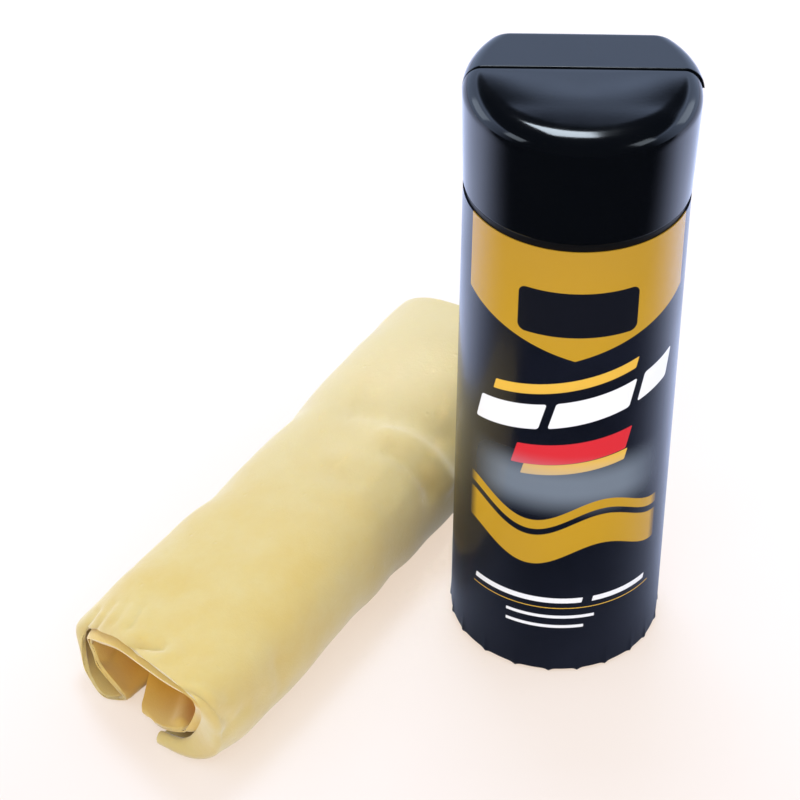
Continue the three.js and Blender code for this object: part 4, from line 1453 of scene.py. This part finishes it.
class CHAMOIS_OT_tube(bpy.types.Operator):
    """Make the moulded tube with its base and threaded neck"""

    bl_idname = "chamois.tube"
    bl_label = "Tube"

    def execute(self, context):
        tube = context.scene.chamois_tube
        skin = Skin()
        skin.add(tube_surface(tube))
        piece = skin.object_named("moulded_tube")
        effects = shared_effects()
        material = plastic_material("Tube plastic", tube.plastic, effects, roughness=0.42)
        dress(piece, "tube_body", "tube", material)
        return {"FINISHED"}


class CHAMOIS_OT_sleeve(bpy.types.Operator):
    """Make the printed film, gathered into pleats round the base"""

    bl_idname = "chamois.sleeve"
    bl_label = "Printed sleeve"

    def execute(self, context):
        tube = context.scene.chamois_tube
        skin = Skin()
        skin.add_wall(*sleeve_faces(tube), closed=True)
        piece = skin.object_named("printed_sleeve")
        dress(piece, "label_sleeve", "tube", film_material(tube, shared_effects()))
        return {"FINISHED"}


class CHAMOIS_OT_seal(bpy.types.Operator):
    """Make the seal ring on the neck's lip"""

    bl_idname = "chamois.seal"
    bl_label = "Seal ring"

    def execute(self, context):
        tube = context.scene.chamois_tube
        low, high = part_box("seal_ring")
        inner, outer = (tube.neck_radius - tube.wall) / MM + 0.2, high.x / MM
        bottom, top = low.z / MM, high.z / MM
        skin = Skin()
        skin.add(turned_path(rounded_path([
            [inner, (bottom + top) / 2, 0], [inner, bottom, 0.3], [outer, bottom, 0.3],
            [outer, top, 0.3], [inner, top, 0.3], [inner, (bottom + top) / 2, 0],
        ]), 160))
        piece = skin.object_named("rubber_seal")
        dress(piece, "seal_ring", "seal", rubber_material(tube, shared_effects()))
        return {"FINISHED"}


class CHAMOIS_OT_cap(bpy.types.Operator):
    """Make the threaded cap with its mouth and hinge ears"""

    bl_idname = "chamois.cap"
    bl_label = "Screw cap"

    def execute(self, context):
        cap = context.scene.chamois_cap
        skin = Skin()
        skin.add(cap_surface(cap))
        for side in (-1, 1):
            skin.add(hinge_ear(cap, side))
        piece = skin.object_named("threaded_cap", sharp_degrees=32)
        material = cap_plastic("Cap plastic", cap, shared_effects())
        dress(piece, "screw_cap", "cap", material)
        return {"FINISHED"}


class CHAMOIS_OT_lid(bpy.types.Operator):
    """Make the flip lid with its plug, barrel and pins"""

    bl_idname = "chamois.lid"
    bl_label = "Flip lid"

    def execute(self, context):
        cap = context.scene.chamois_cap
        skin = Skin()
        skin.add_wall(*lid_faces(cap))
        for ring in (plug_ring, hinge_barrel, hinge_web):
            skin.add(ring(cap))
        piece = skin.object_named("hinged_lid", sharp_degrees=32)
        material = cap_plastic("Lid plastic", cap, shared_effects())
        dress(piece, "flip_lid", "lid", material)
        return {"FINISHED"}


class CHAMOIS_OT_cloth(bpy.types.Operator):
    """Make the one sheet of cloth, folded in half both ways and rolled"""

    bl_idname = "chamois.cloth"
    bl_label = "Rolled cloth"

    def execute(self, context):
        cloth = context.scene.chamois_cloth
        front, back, marks = cloth_faces(cloth)
        skin = Skin()
        skin.add_wall(front, back, coordinates=marks)
        piece = skin.object_named("folded_cloth", sharp_degrees=75)
        dress(piece, "chamois_cloth", "cloth", cloth_material(cloth, shared_effects()))
        return {"FINISHED"}


# Stage

CAMERA_PLACE = (-60.9, -886.0, 818.4)
CAMERA_PITCH = math.radians(39.05)
CAMERA_ROLL = math.radians(0.785)
CAMERA_FOCUS = 3088.0
PICTURE_SIDE = 800.0
SENSOR_WIDTH = 36.0

# The floor: its rings in millimetres, ranges of Y in metres and tones
FLOOR_RINGS = (0, 200, 400, 800, 1600, 3000, 5000)
# Painted shade: as the camera sees it, the floor darkens to this share towards the front, over this
# range of Y.
FLOOR_NEAR_SHADE_SHARE = 0.72
FLOOR_NEAR_SHADE_RANGE = (0.0, -0.2)
FLOOR_GLOSS_RANGE = (-0.12, 0.14)
FLOOR_GLOSS_DARK = (0.005, 0.006, 0.010, 1)
FLOOR_GLOSS_PALE = (0.76, 0.83, 1.12, 1)

# What gloss shows of the surroundings: ranges of the direction's Z and Y, and tones
BACKDROP_TOP_RANGE = (0.648, 0.578)
BACKDROP_LOW_RANGE = (0.545, 0.585, 1.0, 1.5)
BACKDROP_BEHIND_RANGE = (-0.5, 0.2)
BACKDROP_TINT = (0.95, 1.2, 1.75, 1)
BACKDROP_REST = (0.016, 0.019, 0.03, 1)
AROUND_TINT = (0.98, 0.985, 1, 1)

COOL_TINT = (0.78, 0.89, 1.0)
TUBE_TOP = (0, 0, 0.24)
# Lamps that gloss shows: name, place, width, height and the setting that gives the power
LAMPS = [
    ("overhead", (-0.10, 0.70, 2.09), 0.62, 0.75, "overhead"),
    ("left_spot", (-1.6, -0.62, 1.25), 0.6, 0.6, "side"),
    ("right_spot", (1.45, -0.68, 1.5), 0.6, 0.6, "side"),
    ("left_glow", (-1.9, 0.75, 1.0), 0.7, 0.7, "side"),
    ("right_glow", (1.9, 0.85, 1.1), 0.7, 0.7, "side"),
]
# Lamps that gloss doesn't show
FILL_LAMPS = [("side_fill", (0.08, -1.55, 0.88)), ("front_fill", (-0.5, -1.4, 1.5))]
FILL_TARGET = (-0.06, 0, 0.03)
GAP_PLACE = (-0.06, -0.25, 2.2)
GAP_TARGET = (-0.03, 0.04, 0.02)
GAP_SIDE = 0.1
GAP_POWER = 0.006
GAP_TINT = (1, 0.84, 0.45)
GAP_SPREAD = math.radians(2.5)


def floor_material(stage):
    """A pale floor, lit a little from below so that shadows on it stay faint, and as the camera
    sees it painted darker towards the front as shade. In gloss it shows dark before the set and
    pale blue beside and behind it."""
    material, nodes, surface = new_material(
        "Pale floor", Roughness=0.9, Specular_IOR_Level=0.1, Emission_Strength=1.0,
    )
    back = nodes.add("ShaderNodeSeparateXYZ", {"Vector": nodes.place()}).outputs["Y"]
    # Painted shade: darker towards the front as the camera sees it.
    near = tuple(FLOOR_NEAR_SHADE_SHARE * part for part in stage.seen[:3]) + (1,)
    seen = nodes.blend(nodes.ranged(back, *FLOOR_NEAR_SHADE_RANGE), tuple(stage.seen), near)
    behind = nodes.ranged(back, *FLOOR_GLOSS_RANGE, smooth=True)
    shown = nodes.blend(behind, FLOOR_GLOSS_DARK, FLOOR_GLOSS_PALE)
    rays = nodes.add("ShaderNodeLightPath").outputs
    base = nodes.blend(rays["Is Camera Ray"], tuple(stage.floor), seen)
    nodes.put(surface["Base Color"], nodes.blend(rays["Is Glossy Ray"], base, shown))
    lit = nodes.blend(rays["Is Camera Ray"], BLACK, tuple(stage.lift))
    nodes.put(surface["Emission Color"], lit)
    return material


def add_floor(stage):
    """A wide flat floor: rings of radius r at height 0, carried round the Z axis."""
    radius = np.array(FLOOR_RINGS, float)
    skin = Skin()
    skin.add(turned(radius[::-1, None], 0 * radius[:, None], circle(96)[None]))
    floor = skin.object_named("floor")
    floor.data.materials.append(floor_material(stage))


def add_lamp(name, place, target, width, height, power, tint=(1, 1, 1)):
    """A rectangular lamp that faces its target. Lengths are in metres."""
    light = bpy.data.lights.new(name, "AREA")
    light.shape = "RECTANGLE"
    light.size, light.size_y = width, height
    light.energy = power
    light.color = tint
    lamp = bpy.data.objects.new(name, light)
    bpy.context.scene.collection.objects.link(lamp)
    facing = (Vector(target) - Vector(place)).to_track_quat("-Z", "Y")
    lamp.matrix_world = Matrix.Translation(place) @ facing.to_matrix().to_4x4()
    return lamp


def add_lamps(stage):
    """The lamps that gloss shows, then the fills that it doesn't."""
    for name, place, width, height, power in LAMPS:
        add_lamp(name, place, TUBE_TOP, width, height, getattr(stage, power), COOL_TINT)
    fills = [add_lamp(name, place, FILL_TARGET, 1.0, 0.8, stage.fill) for name, place in FILL_LAMPS]
    fills.append(
        add_lamp("gap_fill", GAP_PLACE, GAP_TARGET, GAP_SIDE, GAP_SIDE, GAP_POWER, GAP_TINT)
    )
    fills[-1].data.spread = GAP_SPREAD
    for fill in fills:
        fill.visible_glossy = False


def add_surroundings(stage):
    """Even pale surroundings. In gloss they are a pale blue backdrop behind the set, dark above
    it and before it."""
    world = bpy.data.worlds.new("Pale studio")
    bpy.context.scene.world = world
    world.use_nodes = True
    world.node_tree.nodes.clear()
    nodes = Nodes(world.node_tree)
    way = nodes.add("ShaderNodeTexCoord").outputs["Generated"]
    parts = nodes.add("ShaderNodeSeparateXYZ", {"Vector": way}).outputs
    low = nodes.ranged(parts["Z"], *BACKDROP_TOP_RANGE, smooth=True)
    low = nodes.math("MULTIPLY", low, nodes.ranged(parts["Z"], *BACKDROP_LOW_RANGE))
    behind = nodes.ranged(parts["Y"], *BACKDROP_BEHIND_RANGE, smooth=True)
    lit = nodes.blend(1.0, nodes.math("MULTIPLY", low, behind), BACKDROP_TINT, "MULTIPLY")
    shown = nodes.blend(1.0, lit, BACKDROP_REST, "ADD")
    glossy = nodes.add("ShaderNodeLightPath").outputs["Is Glossy Ray"]
    tint = nodes.blend(glossy, AROUND_TINT, shown)
    back = nodes.add("ShaderNodeBackground", {"Color": tint, "Strength": stage.surroundings})
    nodes.add("ShaderNodeOutputWorld", {"Surface": back.outputs[0]})


def add_camera():
    """The camera as fitted to the photograph: pitched down and rolled a little."""
    forward = Vector((0, math.cos(CAMERA_PITCH), -math.sin(CAMERA_PITCH)))
    level = Vector((1, 0, 0))
    upward = level.cross(forward)
    right = math.cos(CAMERA_ROLL) * level + math.sin(CAMERA_ROLL) * upward
    top = math.cos(CAMERA_ROLL) * upward - math.sin(CAMERA_ROLL) * level
    data = bpy.data.cameras.new("camera")
    data.sensor_width = SENSOR_WIDTH
    data.lens = CAMERA_FOCUS / PICTURE_SIDE * SENSOR_WIDTH
    data.clip_start, data.clip_end = 0.01, 100
    camera = bpy.data.objects.new("camera", data)
    bpy.context.scene.collection.objects.link(camera)
    turn = Matrix((right, top, -forward)).transposed().to_4x4()
    camera.matrix_world = Matrix.Translation(Vector(CAMERA_PLACE) * MM) @ turn
    bpy.context.scene.camera = camera


class CHAMOIS_OT_stage(bpy.types.Operator):
    """Make the floor, the surroundings, the lamps and the camera"""

    bl_idname = "chamois.stage"
    bl_label = "Stage"

    def execute(self, context):
        stage = context.scene.chamois_stage
        add_floor(stage)
        add_surroundings(stage)
        add_lamps(stage)
        add_camera()
        context.scene.view_settings.view_transform = "Standard"
        return {"FINISHED"}


class CHAMOIS_PT_sidebar(bpy.types.Panel):
    """Lists the pieces of the set and their settings"""

    bl_label = "Chamois cloth and tube"
    bl_idname = "CHAMOIS_PT_sidebar"
    bl_space_type = "VIEW_3D"
    bl_region_type = "UI"
    bl_category = "Chamois"

    def draw(self, context):
        layout = self.layout
        for operator in OPERATORS:
            layout.operator(operator.bl_idname)
        for group in SETTINGS:
            box = layout.box()
            settings = getattr(context.scene, group)
            for name in settings.__annotations__:
                box.prop(settings, name)


OPERATORS = [
    CHAMOIS_OT_stage,
    CHAMOIS_OT_tube,
    CHAMOIS_OT_sleeve,
    CHAMOIS_OT_seal,
    CHAMOIS_OT_cap,
    CHAMOIS_OT_lid,
    CHAMOIS_OT_cloth,
]
SETTINGS = {
    "chamois_tube": TubeSettings,
    "chamois_cap": CapSettings,
    "chamois_cloth": ClothSettings,
    "chamois_stage": StageSettings,
}


def register():
    """Registers the settings, operators and panel, and gives the scene its settings."""
    for name, group in SETTINGS.items():
        bpy.utils.register_class(group)
        setattr(bpy.types.Scene, name, PointerProperty(type=group))
    for kind in OPERATORS + [CHAMOIS_PT_sidebar]:
        bpy.utils.register_class(kind)


def unregister():
    """Takes away what register added."""
    for kind in [CHAMOIS_PT_sidebar] + OPERATORS[::-1]:
        bpy.utils.unregister_class(kind)
    for name, group in SETTINGS.items():
        delattr(bpy.types.Scene, name)
        bpy.utils.unregister_class(group)


def main():
    """Makes every piece in order."""
    register()
    bpy.ops.chamois.stage()
    bpy.ops.chamois.tube()
    bpy.ops.chamois.sleeve()
    bpy.ops.chamois.seal()
    bpy.ops.chamois.cap()
    bpy.ops.chamois.lid()
    bpy.ops.chamois.cloth()


if __name__ == "__main__":
    main()
